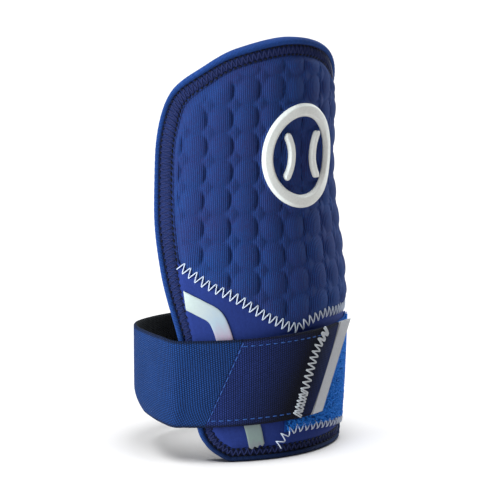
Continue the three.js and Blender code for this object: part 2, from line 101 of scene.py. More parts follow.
print("front of the shield at the floor and 150 mm up:", np.round(wrap_mm(0, [0, 150], 0), 1).tolist())

# %% [markdown]
# From the pattern to the part
#
# The part has its origin in the middle of its box, and the pattern has it under the middle of the shield. A
# solid that both sides know gives the shift between them: the flat label at the strap's end, whose corners
# follow from the strap's own numbers.

# %% Strap numbers, label corners and the shift
STRAP_BOTTOM = 14.3
STRAP_TOP = 48.2
STRAP_WIDTH = STRAP_TOP - STRAP_BOTTOM
STRAP_RISE = 0.04
STRAP_RISE_FROM = -38.0
STRAP_LIFT = 2.3
STRAP_THICK = 1.6
STRAP_TIP = {"low": 2.2, "high": 18.2}
LABEL = {"thick": 1.0, "lift": 2.9, "width": 6.6, "gap": 0.3, "foot": 0.4, "rise": 1.0, "tilt": 0.3}


def strap_height(arc, share):
    """Height on the strap at a share of its width: it rises slowly to the right."""
    return mix(STRAP_BOTTOM, STRAP_TOP, share) + STRAP_RISE * (arc - STRAP_RISE_FROM)


def label_corners():
    """Four corners of the flat label: two on the strap's slanted end, and the same two moved across it."""
    foot = strap_height(STRAP_TIP["low"], 0)
    top = strap_height(STRAP_TIP["high"], 1)
    low = wrap_mm(STRAP_TIP["low"] + LABEL["gap"], foot + LABEL["foot"], LABEL["lift"])
    high = wrap_mm(STRAP_TIP["high"] + LABEL["gap"], top, LABEL["lift"])
    beside = wrap_mm(STRAP_TIP["low"] + LABEL["width"], foot + LABEL["rise"], LABEL["lift"] + LABEL["tilt"])
    across = unit(beside - low) * LABEL["width"]
    normal = unit(np.cross(across, high - low))
    return np.array([low, low + across, high + across, high]), normal


corners_mm, label_normal = label_corners()
label_lowest = (corners_mm - np.abs(label_normal) * LABEL["thick"] / 2).min(0)
SHIFT = np.array(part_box("pull_label")[0]) / MM - label_lowest
SHIFT[2] = 0


def to_part(points_mm):
    """Millimetres on the pattern's side to metres on the part's."""
    return (points_mm + SHIFT) * MM


def wrap(arc, height, lift):
    """Wrapped places in metres on the part."""
    return to_part(wrap_mm(arc, height, lift))


print("pattern to part, mm:", np.round(SHIFT, 3))

# %% [markdown]
# Camera
#
# The photograph was taken with a long lens from the left of the shield's middle and a little above it.
# A long lens keeps upright edges nearly parallel, so the distance and the lens are set together. Camera and
# lamps all look along their own -Z, so one helper places and turns them.

# %% Camera
CAMERA_AZIMUTH = -41
CAMERA_ELEVATION = 8.5
CAMERA_DISTANCE = 0.9
SENSOR_WIDTH = 36
FOCAL_LENGTH = 162
CLIP_START = 0.01
TARGET = to_part(np.array([10.11, -8.79, 75.0]))
scene = bpy.context.scene


def bearing(azimuth, elevation):
    """Direction away from the object, from degrees round it and above the floor; azimuth 0 is straight in
    front of the shield."""
    a, e = np.radians(azimuth), np.radians(elevation)
    return np.array([np.sin(a) * np.cos(e), -np.cos(a) * np.cos(e), np.sin(e)])


def put_facing(name, data, middle, distance, away):
    """Camera or lamp at a distance from a middle point, turned to face it."""
    thing = bpy.data.objects.new(name, data)
    thing.location = middle + distance * away
    thing.rotation_euler = Vector(-away).to_track_quat("-Z", "Y").to_euler()
    scene.collection.objects.link(thing)
    return thing


lens = bpy.data.cameras.new("camera")
lens.sensor_width = SENSOR_WIDTH
lens.lens = FOCAL_LENGTH
lens.clip_start = CLIP_START
camera_side = bearing(CAMERA_AZIMUTH, CAMERA_ELEVATION)
scene.camera = put_facing("camera", lens, TARGET, CAMERA_DISTANCE, camera_side)
print("camera at", np.round(scene.camera.location, 3))

# %% [markdown]
# Studio lights
#
# The object needs light from its left, and the floor an even white with one soft shadow. Light linking gives
# both: each lamp's receiver collection holds what it lights, as a flag beside a real lamp would. Soft boxes
# and a high sun light the object alone, and a steep sun with a wide disc lights the floor alone.

# %% Soft boxes and suns
LIT_MIDDLE = np.array([0, 0, 0.08])
SUN_DISTANCE = 2.0
SOFT_BOX_COLOUR = (0.86, 0.97, 1.0)
flagged = bpy.data.collections.new("lit_by_boxes")
ground = bpy.data.collections.new("lit_by_floor_sun")
# name, azimuth, elevation, distance, width, height, watts
SOFT_BOXES = [
    ("key_box", -92, 14, 1.1, 0.6, 0.6, 24),
    ("edge_box", 92, 20, 1.0, 0.3, 0.8, 9),
    ("rim_box", -150, 18, 1.0, 0.3, 0.8, 2.5),
]
# name, azimuth, elevation, strength, degrees across its disc, what it lights
SUNS = [
    ("overhead", 139, 78, 3.4, 56, flagged),
    ("floor_sun", -41, 79, 3.5, 54, ground),
]


def put_light(name, kind, azimuth, elevation, distance, power, lit):
    """Lamp at a bearing round the object, facing its middle, that lights one collection."""
    light = bpy.data.lights.new(name, kind)
    light.energy = power
    lamp = put_facing(name, light, LIT_MIDDLE, distance, bearing(azimuth, elevation))
    lamp.light_linking.receiver_collection = lit
    return light


for name, azimuth, elevation, distance, wide, tall, watts in SOFT_BOXES:
    box = put_light(name, "AREA", azimuth, elevation, distance, watts, flagged)
    box.shape = "RECTANGLE"
    box.color = SOFT_BOX_COLOUR
    box.size = wide
    box.size_y = tall
for name, azimuth, elevation, strength, disc, lit in SUNS:
    sun = put_light(name, "SUN", azimuth, elevation, SUN_DISTANCE, strength, lit)
    sun.angle = np.radians(disc)

# %% [markdown]
# Dome and floor
#
# A dim dome, grey at the horizon and white overhead, fills the shadows. A picture of a studio could do this
# too, but a ramp over the height of each direction needs no file.

# %% Dome and floor
DOME_STRENGTH = 0.3
# height of the direction, red, green, blue
DOME_RAMP = [(0.1, 0.15, 0.155, 0.165), (0.75, 1.0, 1.0, 1.0)]
FLOOR_HALF = 20.0
FLOOR_COLOUR = (0.93, 0.93, 0.93, 1)
FLOOR_ROUGHNESS = 0.9

scene.view_settings.view_transform = "Standard"
dome = bpy.data.worlds.new("studio_dome")
scene.world = dome
dome.use_nodes = True
sky = dome.node_tree
direction = sky.nodes.new("ShaderNodeTexCoord")
axes = sky.nodes.new("ShaderNodeSeparateXYZ")
shades = sky.nodes.new("ShaderNodeValToRGB")
for stop, (position, *colour) in zip(shades.color_ramp.elements, DOME_RAMP):
    stop.position = position
    stop.color = (*colour, 1)
sky.links.new(direction.outputs["Generated"], axes.inputs[0])
sky.links.new(axes.outputs["Z"], shades.inputs["Fac"])
sky.links.new(shades.outputs["Color"], sky.nodes["Background"].inputs["Color"])
sky.nodes["Background"].inputs["Strength"].default_value = DOME_STRENGTH

floor_mesh = bpy.data.meshes.new("floor")
floor_corners = [(x * FLOOR_HALF, y * FLOOR_HALF, 0) for x, y in ((-1, -1), (1, -1), (1, 1), (-1, 1))]
floor_mesh.from_pydata(floor_corners, [], [(0, 1, 2, 3)])
floor = bpy.data.objects.new("floor", floor_mesh)
scene.collection.objects.link(floor)
ground.objects.link(floor)
floor_paint = bpy.data.materials.new("pale_floor")
floor_paint.use_nodes = True
floor_shader = floor_paint.node_tree.nodes["Principled BSDF"]
floor_shader.inputs["Base Color"].default_value = FLOOR_COLOUR
floor_shader.inputs["Roughness"].default_value = FLOOR_ROUGHNESS
floor_mesh.materials.append(floor_paint)
print("floor, m:", np.round(floor.dimensions, 1))

# %% [markdown]
# Smooth lines
#
# The outline, the strap and the strip are short tables of places, as a pattern cutter marks them. A cubic
# runs smoothly through each table. Its steps follow the roots of the distances, because even steps would
# overshoot where a short stretch meets a long one.

# %% Curve helpers
def smooth_curve(points, closed=False):
    """Cubic through the points. The slope at a point is the chord of its neighbours over the sum of their
    centripetal steps (roots of distances); each span eases from its start to its end plus both slopes."""
    p = np.asarray(points, float)
    count = len(p)
    spread = (-1,) + (1,) * (p.ndim - 1)

    def at(i):
        return p[i % count] if closed else p[np.clip(i, 0, count - 1)]

    def step(i):
        return np.sqrt(np.maximum(np.linalg.norm(at(i + 1) - at(i), axis=-1, keepdims=True), 1e-6))

    def slope(i):
        here = i.reshape(spread)
        before = step(i - 1) * (closed or here > 0)
        after = step(i) * (closed or here < count - 1)
        return (at(i + 1) - at(i - 1)) / (before + after)

    def curve(s):
        s = np.asarray(s, float).reshape(-1)
        i = np.minimum(np.floor(s).astype(int), count if closed else count - 2)
        t = (s - i).reshape(spread)
        h = step(i)
        bend = h * (slope(i) * t * (1 - t) ** 2 - slope(i + 1) * t * t * (1 - t))
        return at(i) * (1 - ease(t)) + at(i + 1) * ease(t) + bend

    return curve


def length_of(line):
    """Sum of the distances between neighbouring points."""
    return np.linalg.norm(np.diff(line, axis=0), axis=1).sum()


def even(points, count, closed=False):
    """The same line with points at even distances: lengths are added up and read off at even steps."""
    p = np.vstack([points, points[:1]]) if closed else np.asarray(points, float)
    along = np.concatenate([[0], np.cumsum(np.linalg.norm(np.diff(p, axis=0), axis=1))])
    at = np.linspace(0, along[-1], count + 1)[:-1] if closed else np.linspace(0, along[-1], count)
    return np.stack([np.interp(at, along, p[:, k]) for k in range(p.shape[1])], -1)


def distance_to(points, line):
    """Distance of each point of a grid to the nearest point of a dense line, one row at a time."""
    return np.stack([np.sqrt(((row[:, None] - line[None]) ** 2).sum(-1).min(1)) for row in points])


print("a bent line in four even steps:", even([(0, 0), (3, 0), (3, 1)], 5).tolist())

# %% [markdown]
# Meshes from grids
#
# A piece is a grid of points in rows and columns, some of them closed into rings. Filling the mesh from whole
# arrays keeps this quick even with a hundred thousand faces. Each corner also gets its place on the flat
# cloth in metres, in a map named pattern, which the weaves read later.

# %% Grid helpers
def fill_mesh(name, points, cells, uv, kinds=None):
    """Mesh from arrays of points and four-cornered cells, with its pattern map and each cell's finish."""
    mesh = bpy.data.meshes.new(name)
    mesh.vertices.add(len(points))
    mesh.vertices.foreach_set("co", np.asarray(points, np.float32).ravel())
    mesh.loops.add(cells.size)
    mesh.loops.foreach_set("vertex_index", cells.astype(np.int32).ravel())
    mesh.polygons.add(len(cells))
    mesh.polygons.foreach_set("loop_start", np.arange(len(cells), dtype=np.int32) * 4)
    mesh.polygons.foreach_set("use_smooth", np.ones(len(cells), bool))
    if kinds is not None:
        mesh.polygons.foreach_set("material_index", np.asarray(kinds, np.int32).ravel())
    layer = mesh.uv_layers.new(name="pattern")
    layer.uv.foreach_set("vector", np.asarray(uv, np.float32).ravel())
    mesh.update(calc_edges=True)
    mesh.validate()
    return mesh


def grid_cells(rows, columns, close_rows=False, close_columns=False):
    """Corner numbers of a grid's cells, and the corners' numbers on the unclosed map of that grid."""
    index = np.arange(rows * columns).reshape(rows, columns)
    index = np.vstack([index, index[:1]]) if close_rows else index
    index = np.hstack([index, index[:, :1]]) if close_columns else index
    chart = np.arange(index.size).reshape(index.shape)

    def cells(table):
        quads = [table[:-1, :-1], table[:-1, 1:], table[1:, 1:], table[1:, :-1]]
        return np.stack(quads, -1).reshape(-1, 4)

    return cells(index), cells(chart)


def weld(mesh, distance=2e-7):
    """Merges points that coincide, at poles and at closed ends, and turns the faces outward."""
    work = bmesh.new()
    work.from_mesh(mesh)
    bmesh.ops.remove_doubles(work, verts=work.verts, dist=distance)
    bmesh.ops.dissolve_degenerate(work, edges=work.edges, dist=distance / 4)
    bmesh.ops.recalc_face_normals(work, faces=work.faces)
    work.to_mesh(mesh)
    work.free()
    mesh.update()


def grid_mesh(name, points, chart, close_rows=False, close_columns=False, kinds=None):
    """Closed mesh of a grid; the chart gives each corner's place on the cloth in metres."""
    rows, columns = points.shape[:2]
    cells, corners = grid_cells(rows, columns, close_rows, close_columns)
    uv = chart.reshape(-1, 2)[corners.reshape(-1)]
    mesh = fill_mesh(name, points.reshape(-1, 3), cells, uv, kinds)
    weld(mesh)
    return mesh


print("cells of a 4 by 3 grid:", len(grid_cells(4, 3)[0]))

# %% [markdown]
# Adding a piece
#
# Each dressed piece rides on the part's body, and most of them take the place of one CAD node. The piece
# also joins the collection that the soft boxes light.

# %% Piece helper
def add_piece(name, mesh, finish, node=None):
    """Puts a mesh into the scene as a piece that rides on the part, in place of its CAD node."""
    piece = bpy.data.objects.new(name, mesh)
    scene.collection.objects.link(piece)
    flagged.objects.link(piece)
    for material in finish if isinstance(finish, list) else [finish]:
        mesh.materials.append(material)
    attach(piece, "root")
    if node:
        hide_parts(node)
    mesh.calc_loop_triangles()
    print(name, len(mesh.loop_triangles), "triangles")
    return piece


print("CAD nodes to dress:", len(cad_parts))

# %% [markdown]
# Cloth effects shared by the finishes
#
# Woven, knitted and ribbed cloth all repeat a small cell. One node group makes that cell from the pattern
# map: two sine waves multiplied give a bump per thread, a stagger shifts every other row, a rib amount turns
# cells into cords, and a shear slants the columns. A photographed weave would blur up close, and a formula
# stays sharp. A second group breaks the colour up with soft noise, since no cloth is one flat colour.

# %% Node groups
BROAD_DETAIL = 3.0
FINE_DETAIL = 1.0
MOTTLE_SPREAD = 1.4
MOTTLE_SHIFT = -0.9
PER_METRE = 1000.0


def calc(tree, operation, *values):
    """Adds a Math node whose inputs are numbers or other nodes' outputs."""
    made = tree.nodes.new("ShaderNodeMath")
    made.operation = operation
    for socket, value in zip(made.inputs, values):
        if isinstance(value, (int, float)):
            socket.default_value = value
        else:
            tree.links.new(value, socket)
    return made.outputs[0]


def split_axes(tree, vector):
    """Outputs X, Y and Z of a vector."""
    part = tree.nodes.new("ShaderNodeSeparateXYZ")
    tree.links.new(vector, part.inputs[0])
    return part.outputs


def new_group(name, inputs, outputs):
    """Node group with float inputs (name, value), a Vector input first, and named outputs."""
    group = bpy.data.node_groups.new(name, "ShaderNodeTree")
    group.interface.new_socket("Vector", in_out="INPUT", socket_type="NodeSocketVector")
    for label, value in inputs:
        socket = group.interface.new_socket(label, in_out="INPUT", socket_type="NodeSocketFloat")
        socket.default_value = value
    for label in outputs:
        group.interface.new_socket(label, in_out="OUTPUT", socket_type="NodeSocketFloat")
    return group, group.nodes.new("NodeGroupInput").outputs, group.nodes.new("NodeGroupOutput").inputs


def ripple(tree, count):
    """Absolute sine of pi times a count: one hump per whole number."""
    return calc(tree, "ABSOLUTE", calc(tree, "SINE", calc(tree, "MULTIPLY", count, np.pi)))


def make_thread_cells():
    """Height = |sin(pi x)| times a mix of |sin(pi y)| and 1, where x and y count threads, y is shifted by the
    stagger in every other column, and the shear slides x along with y."""
    group, given, made = new_group(
        "thread_cells",
        [("Across", 0.8), ("Along", 0.8), ("Stagger", 0.5), ("Rib", 0.0), ("Shear", 0.0)],
        ["Height"])
    axes = split_axes(group, given["Vector"])
    slid = calc(group, "MULTIPLY_ADD", axes["Y"], given["Shear"], axes["X"])
    x = calc(group, "DIVIDE", calc(group, "MULTIPLY", slid, PER_METRE), given["Across"])
    y = calc(group, "DIVIDE", calc(group, "MULTIPLY", axes["Y"], PER_METRE), given["Along"])
    odd = calc(group, "FLOORED_MODULO", calc(group, "FLOOR", x), 2.0)
    y = calc(group, "ADD", y, calc(group, "MULTIPLY", odd, given["Stagger"]))
    wave_y = ripple(group, y)
    ribbed = calc(group, "MULTIPLY_ADD", calc(group, "SUBTRACT", 1.0, wave_y), given["Rib"], wave_y)
    group.links.new(calc(group, "MULTIPLY", ripple(group, x), ribbed), made["Height"])
    return group


def make_mottle():
    """Shade = the sum of a broad and a fine noise, spread to run from about 0 to 1."""
    group, given, made = new_group("cloth_mottle", [("Broad", 60.0), ("Fine", 900.0)], ["Shade"])
    noises = []
    for label, detail in (("Broad", BROAD_DETAIL), ("Fine", FINE_DETAIL)):
        noise = group.nodes.new("ShaderNodeTexNoise")
        noise.inputs["Detail"].default_value = detail
        group.links.new(given["Vector"], noise.inputs["Vector"])
        group.links.new(given[label], noise.inputs["Scale"])
        noises.append(noise.outputs[0])
    both = calc(group, "ADD", *noises)
    group.links.new(calc(group, "MULTIPLY_ADD", both, MOTTLE_SPREAD, MOTTLE_SHIFT), made["Shade"])
    return group


THREAD_CELLS = make_thread_cells()
MOTTLE = make_mottle()
print("node groups:", [g.name for g in bpy.data.node_groups])

# %% [markdown]
# Colours and bumps
#
# Every finish starts from the same few parts: a material with its shader, the pattern map, a mix or a ramp of
# colours, and a bump. Colours are written as they look on a screen, while shaders count light, so they are
# made linear first.

# %% Material helpers
def tint(red, green, blue):
    """Screen colour from 0 to 255 as the linear colour that shaders use."""
    c = np.array([red, green, blue]) / 255
    linear = np.where(c <= 0.04045, c / 12.92, ((c + 0.055) / 1.055) ** 2.4)
    return (*linear.tolist(), 1.0)


def new_finish(name):
    """Material with nodes, its node tree and its shader."""
    material = bpy.data.materials.new(name)
    material.use_nodes = True
    return material, material.node_tree, material.node_tree.nodes["Principled BSDF"]


def pattern_map(tree):
    """Place on the flat cloth, in metres."""
    chart = tree.nodes.new("ShaderNodeUVMap")
    chart.uv_map = "pattern"
    return chart.outputs[0]


def object_place(tree):
    """Place on the part, in metres."""
    return tree.nodes.new("ShaderNodeTexCoord").outputs["Object"]


def put_group(tree, group, vector, **values):
    """Places a node group with its own values, and gives its output."""
    node = tree.nodes.new("ShaderNodeGroup")
    node.node_tree = group
    tree.links.new(vector, node.inputs["Vector"])
    for label, value in values.items():
        node.inputs[label].default_value = value
    return node.outputs[0]


def colour_mix(tree, factor, first, second):
    """Mix of two colours; the factor and the colours are plain values or other nodes' outputs."""
    node = tree.nodes.new("ShaderNodeMix")
    node.data_type = "RGBA"
    for socket, value in zip((node.inputs[0], node.inputs[6], node.inputs[7]), (factor, first, second)):
        if isinstance(value, (tuple, int, float)):
            socket.default_value = value
        else:
            tree.links.new(value, socket)
    return node.outputs[2]


def ramp_through(tree, value, stops, length):
    """Colour ramp through stops given as a distance up to the length and a linear colour."""
    ramp = tree.nodes.new("ShaderNodeValToRGB")
    elements = ramp.color_ramp.elements
    elements.remove(elements[1])
    for number, (distance, colour) in enumerate(stops):
        stop = elements[0] if number == 0 else elements.new(distance / length)
        stop.position = distance / length
        stop.color = colour
    tree.links.new(value, ramp.inputs["Fac"])
    return ramp.outputs["Color"]


def raise_by(tree, shader, height, distance):
    """Bends the light as if the surface rose by a height times a distance in millimetres."""
    bump = tree.nodes.new("ShaderNodeBump")
    bump.inputs["Distance"].default_value = distance * MM
    tree.links.new(height, bump.inputs["Height"])
    tree.links.new(bump.outputs[0], shader.inputs["Normal"])


print("middle grey as light:", np.round(tint(128, 128, 128), 3))

# %% [markdown]
# Cloth finishes
#
# Each cloth mixes a shadow colour and a lit colour by its thread cell, varies that by the mottle, and bends
# the light with a bump of the same cell. Only what changes over the surface goes through links: sheen and the
# other plain numbers sit on the shader itself. A fade darkens a cloth along one direction: on the binding
# tape it is painted shade near the floor, on the strap it darkens the long edges and the end panel towards
# its tip, and on the label it draws a border line.

# %% Cloth finish builder
FADE_LENGTH = 50.0
FADE_COLOUR = (10, 10, 13)
STAGGER = 0.5
BLOTCH_SHARE = 0.7
CLOTH_MOTTLE = {"Broad": 60.0, "Fine": 1200.0}
CLOTH_SHEEN = {"Sheen Weight": 0.1, "Sheen Roughness": 0.5, "Specular IOR Level": 0.1}


def cell(across, along, rib, shear=0.0):
    """Values of one thread cell: its size in millimetres, its rib amount and its slant."""
    return dict(Across=across, Along=along, Stagger=STAGGER, Rib=rib, Shear=shear)


def cloth(name, dark, light, threads, bump=0.15, roughness=0.85, mottle=0.35, blotch=None, fades=()):
    """Cloth material from a thread cell. A fade is an axis and rows of a distance in millimetres and a share
    of dark there: X along the piece's map, Y across it, or Z above the floor. The mottle mixes in a blotch
    colour, by default a darker shadow colour."""
    material, tree, shader = new_finish(name)
    chart = pattern_map(tree)
    place = object_place(tree)
    height = put_group(tree, THREAD_CELLS, chart, **threads)
    shade = put_group(tree, MOTTLE, place, **CLOTH_MOTTLE)
    colour = colour_mix(tree, height, tint(*dark), tint(*light))
    blotch = blotch or [BLOTCH_SHARE * value for value in dark]
    colour = colour_mix(tree, calc(tree, "MULTIPLY", shade, mottle), colour, tint(*blotch))
    for axis, *rows in fades:
        axes = split_axes(tree, place if axis == "Z" else chart)
        along = calc(tree, "DIVIDE", axes[axis], FADE_LENGTH * MM)
        stops = [(distance, (share, share, share, 1.0)) for distance, share in rows]
        colour = colour_mix(tree, ramp_through(tree, along, stops, FADE_LENGTH), colour, tint(*FADE_COLOUR))
    tree.links.new(colour, shader.inputs["Base Color"])
    raise_by(tree, shader, height, bump)
    shader.inputs["Roughness"].default_value = roughness
    shader.inputs["Sheen Tint"].default_value = tint(*light)
    for label, value in CLOTH_SHEEN.items():
        shader.inputs[label].default_value = value
    return material


print("a plain cell:", cell(0.8, 0.8, 0.0))

# %% [markdown]
# The cloths
#
# The shield wears a ribbed quilted knit, a smooth knit, a binding tape that is darker where the stitching
# presses it, and a black lining. The strap is a coarse elastic and a finer slanted weave, both with dark
# edges; its end panel goes nearly black near the tip. The label is a silver weave with a plain border line.
# One builder makes them all, so that only colours, cells and fades differ.

# %% Cloths
# painted shade: the binding tape darkens in its lowest 14 mm, where the shade near the floor falls
PAINTED_FLOOR_SHADE = ["Z", (0, 0.8), (5, 0.55), (14, 0)]
# darker along both long edges of the strap and its end panel
STRAP_EDGE_DARKENING = ["Y", (0, 0.8), (0.7, 0.7), (1.5, 0), (32.6, 0), (33.2, 0.7), (33.9, 0.8)]
# darker towards the end panel's tip: nearly black from 29 to 33 mm along it, lighter again at the tip
END_FADE = ["X", (0, 0), (8, 0.1), (29, 0.95), (33, 0.95), (41, 0.45)]
LABEL_BORDER = [
    "Y", (0, 0.1), (0.3, 0.1), (0.4, 0.6), (0.6, 0.6), (0.7, 0), (5.9, 0), (6.0, 0.6), (6.2, 0.6), (6.3, 0.1),
]
TAPE_CELL = cell(0.6, 0.5, 0.3)

QUILTED = cloth("quilted_mesh", (15, 21, 52), (28, 65, 128), cell(0.8, 0.7, 0.6),
                bump=0.17, mottle=0.6, blotch=(38, 30, 70))
SMOOTH = cloth("smooth_knit", (24, 35, 87), (40, 59, 129), cell(0.45, 0.45, 0.2), bump=0.05)
TAPE = cloth("binding_tape", (14, 31, 74), (35, 74, 146), TAPE_CELL, bump=0.1, fades=[PAINTED_FLOOR_SHADE])
PRESSED_TAPE = cloth("pressed_tape", (15, 20, 50), (35, 51, 105), TAPE_CELL,
                     bump=0.1, mottle=0.6, fades=[PAINTED_FLOOR_SHADE])
ELASTIC = cloth("woven_elastic", (12, 17, 40), (25, 67, 132), cell(0.95, 0.8, 0.1),
                bump=0.3, fades=[STRAP_EDGE_DARKENING])
WOVEN = cloth("fine_weave", (8, 11, 30), (40, 61, 132), cell(0.8, 0.7, 0.05, 0.42),
              bump=0.2, fades=[END_FADE, STRAP_EDGE_DARKENING])
LINING = cloth("black_lining", (10, 11, 14), (33, 35, 42), cell(0.9, 0.9, 0.1), bump=0.2)
PILE = cloth("loop_pile", (14, 52, 124), (36, 100, 186), cell(0.5, 0.5, 0.0), bump=0.3)
SILVER_WEAVE = cloth("silver_label", (148, 150, 155), (204, 206, 210), cell(0.35, 0.5, 0.4),
                     bump=0.05, roughness=0.5, mottle=0.15, fades=[LABEL_BORDER])
print("cloths:", [m.name for m in bpy.data.materials])

# %% [markdown]
# The outline
#
# The shield's edge is a closed curve on the pattern, and a V-shaped seam divides it into an upper and a lower
# cover. The curve is spaced evenly into a ring of points, each with a direction that points inward. Even
# steps let the needle holes be counted off along the edge later, as a sewing machine would make them.

# %% Outline and seam
DENSE_POINTS = 6000
RING_POINTS = 1000
# arc, height
OUTLINE = np.array([
    (-38.6, 7), (-33.4, 2.4), (-26, -0.3), (0, 0), (32, -0.3), (39.4, 7), (42.6, 15), (50.1, 48), (58, 74),
    (62, 98), (62.5, 117), (56, 133), (44, 145), (21.5, 157.6), (-3.4, 162), (-29.2, 158), (-44.6, 151.2),
    (-59.9, 140.8), (-66.6, 122), (-65.4, 96.6), (-59, 73.7), (-50.1, 48), (-41.9, 14),
])
SEAM = np.array([
    (-70, 89), (-51.5, 77), (-40.6, 70.2), (-27.4, 63.8), (-17, 57), (-6.9, 51.9), (-2.8, 50.9), (3.3, 53.4),
    (11.7, 55), (32.5, 54.2), (70, 56),
])

dense = smooth_curve(OUTLINE, closed=True)(np.linspace(0, len(OUTLINE), DENSE_POINTS, endpoint=False))
dense[:, 1] = np.maximum(dense[:, 1], 0)
RING = even(dense, RING_POINTS, closed=True)
ring_along = unit(np.roll(RING, -1, 0) - np.roll(RING, 1, 0))
RING_INWARD = np.stack([-ring_along[:, 1], ring_along[:, 0]], -1)
RING_STEP = np.linalg.norm(RING[1] - RING[0])
RING_LENGTH = RING_STEP * len(RING)


def seam_height(arc):
    """Height of the seam at an arc, straight between the rows of its table."""
    return np.interp(arc, SEAM[:, 0], SEAM[:, 1])


print("outline length, mm:", round(RING_LENGTH))

# %% [markdown]
# The binding's width and the covers' borders
#
# The binding tape is narrower along the foot and wider on the left flank. Moving the edge inward by its width
# gives the line where the covers begin. In tight corners a moved line crosses itself, so points that came
# too near the edge are dropped before the line is spaced evenly again.

# %% Binding width and cover borders
BINDING_WIDTH = 7.4
BINDING_WIDTH_FOOT = 5.6
FOOT_FACING = 0.1
FLANK = {"extra": 3.4, "low": (46.0, 94.0), "high": (128.0, 158.0)}
DIRECTION_BLUR = 4.0
WIDTH_BLUR = 2.0
BLUR_REACH = 40
CROSSOVER_SLACK = 0.12
SEAM_POINTS = 200


def round_blur(values, width):
    """Mean over neighbours on a closed ring, weighted by a bell curve of that width in millimetres."""
    k = np.arange(-BLUR_REACH, BLUR_REACH + 1)
    weight = np.exp(-0.5 * (k * RING_STEP / width) ** 2)
    return sum(w * np.roll(values, n, 0) for w, n in zip(weight / weight.sum(), k))


def flank_extra(arc, height):
    """Extra width of the binding along the left flank, which comes and goes between heights."""
    share = between(height, *FLANK["low"]) * (1 - between(height, *FLANK["high"]))
    return np.where(arc < 0, FLANK["extra"] * share, 0)


def inset_ring(inset):
    """The outline moved inward by a distance, without the points that crossed over."""
    moved = RING + RING_INWARD * np.reshape(inset, (-1, 1))
    near = distance_to(moved[None], RING)[0]
    return moved[near > np.broadcast_to(inset, near.shape) - CROSSOVER_SLACK]


def cover_border(above, inset, clearance, count):
    """Closed border of the cover above or below the seam: the inset outline on that side, and the seam."""
    edge = inset_ring(inset)
    level = seam_height(edge[:, 0]) + clearance
    inside = edge[:, 1] > level if above else edge[:, 1] < level
    first = np.flatnonzero(inside & ~np.roll(inside, 1))[0]
    run = np.roll(edge, -first, 0)[: inside.sum()]
    arcs = np.linspace(run[-1, 0], run[0, 0], SEAM_POINTS)[1:-1]
    seam = np.stack([arcs, seam_height(arcs) + clearance], -1)
    return even(np.vstack([run, seam]), count, closed=True)


BIND_INWARD = unit(round_blur(RING_INWARD, DIRECTION_BLUR))
facing_floor = ease(RING_INWARD[:, 1] + FOOT_FACING)
BIND_PLAIN = round_blur(mix(BINDING_WIDTH, BINDING_WIDTH_FOOT, facing_floor), WIDTH_BLUR)
BIND = BIND_PLAIN + flank_extra(RING[:, 0], RING[:, 1])
print("binding from", BIND.min().round(1), "to", BIND.max().round(1), "mm wide")

# %% [markdown]
# Cushion relief
#
# The upper cover is fabric moulded over foam into staggered cushions: large ovals in columns, small ones
# between them, and a dark crease that hugs the right side of each large one. Modelling them one by one would
# be slow, so the relief is a formula: rounded domes repeat over the pattern, a soft maximum joins them, and
# the creases are cut into that.

# %% Cushion relief
CELL_ARC = 11.15
CELL_HEIGHT = 10.43
CELL_START = (-2.0, 69.4)
CELL_DEPTH = 1.08
LARGE_DOME = {"arc": 5.0, "height": 5.5, "power": 2.3}
SMALL_DOME = {"top": 0.5, "arc": 3.9, "height": 4.3}
GROUND_LEVEL = -0.5
JOIN_SHARPNESS = 7
CREASE = {"arc": 5.0, "bend": 8.5, "width": 0.48, "height": 5.0, "depth": 0.8, "start": 2.0, "end": 0.4}
# size of the sway, and the lengths over which it varies along the other direction and along its own
ARC_SWAY = (0.35, 6.1, 17.0)
HEIGHT_SWAY = (0.4, 7.3, 23.0)


def cell_offset(value, start, pitch):
    """Distance to the nearest of the places that lie a pitch apart from a start."""
    return (value - start + pitch / 2) % pitch - pitch / 2


def crease_depth(x, y):
    """Bell curve across an upright arc of an ellipse, fading out above, below and beside it."""
    bow = CREASE["arc"] * np.sqrt(np.maximum(0, 1 - (y / CREASE["bend"]) ** 2))
    depth = np.exp(-(((x - bow) / CREASE["width"]) ** 2)) * np.maximum(0, 1 - (y / CREASE["height"]) ** 2)
    return depth * ease(x / CREASE["start"]) * ease((CELL_ARC / 2 - x) / CREASE["end"])


def cushion_relief(arc, height):
    """Soft maximum (logarithm of a sum of powers) of a large oval dome at each cell's middle, a small dome
    between four of them and a flat ground, minus the crease. Slow waves sway the rows a little."""
    size, far, near = ARC_SWAY
    swayed_arc = arc + size * np.sin(height / far + arc / near)
    size, far, near = HEIGHT_SWAY
    swayed_height = height + size * np.sin(arc / far - height / near)
    x = cell_offset(swayed_arc, CELL_START[0], CELL_ARC)
    y = cell_offset(swayed_height, CELL_START[1], CELL_HEIGHT)
    x_half = cell_offset(swayed_arc, CELL_START[0] + CELL_ARC / 2, CELL_ARC)
    y_half = cell_offset(swayed_height, CELL_START[1] + CELL_HEIGHT / 2, CELL_HEIGHT)
    power = LARGE_DOME["power"]
    large = 1 - np.abs(x / LARGE_DOME["arc"]) ** power - np.abs(y / LARGE_DOME["height"]) ** power
    small = SMALL_DOME["top"] - (x_half / SMALL_DOME["arc"]) ** 2 - (y_half / SMALL_DOME["height"]) ** 2
    levels = [np.exp(JOIN_SHARPNESS * level) for level in (large, small, GROUND_LEVEL)]
    joined = np.log(sum(levels)) / JOIN_SHARPNESS
    return CELL_DEPTH * (joined - CREASE["depth"] * crease_depth(x, y))


print("top of a cushion, mm:", np.round(cushion_relief(*CELL_START), 2))

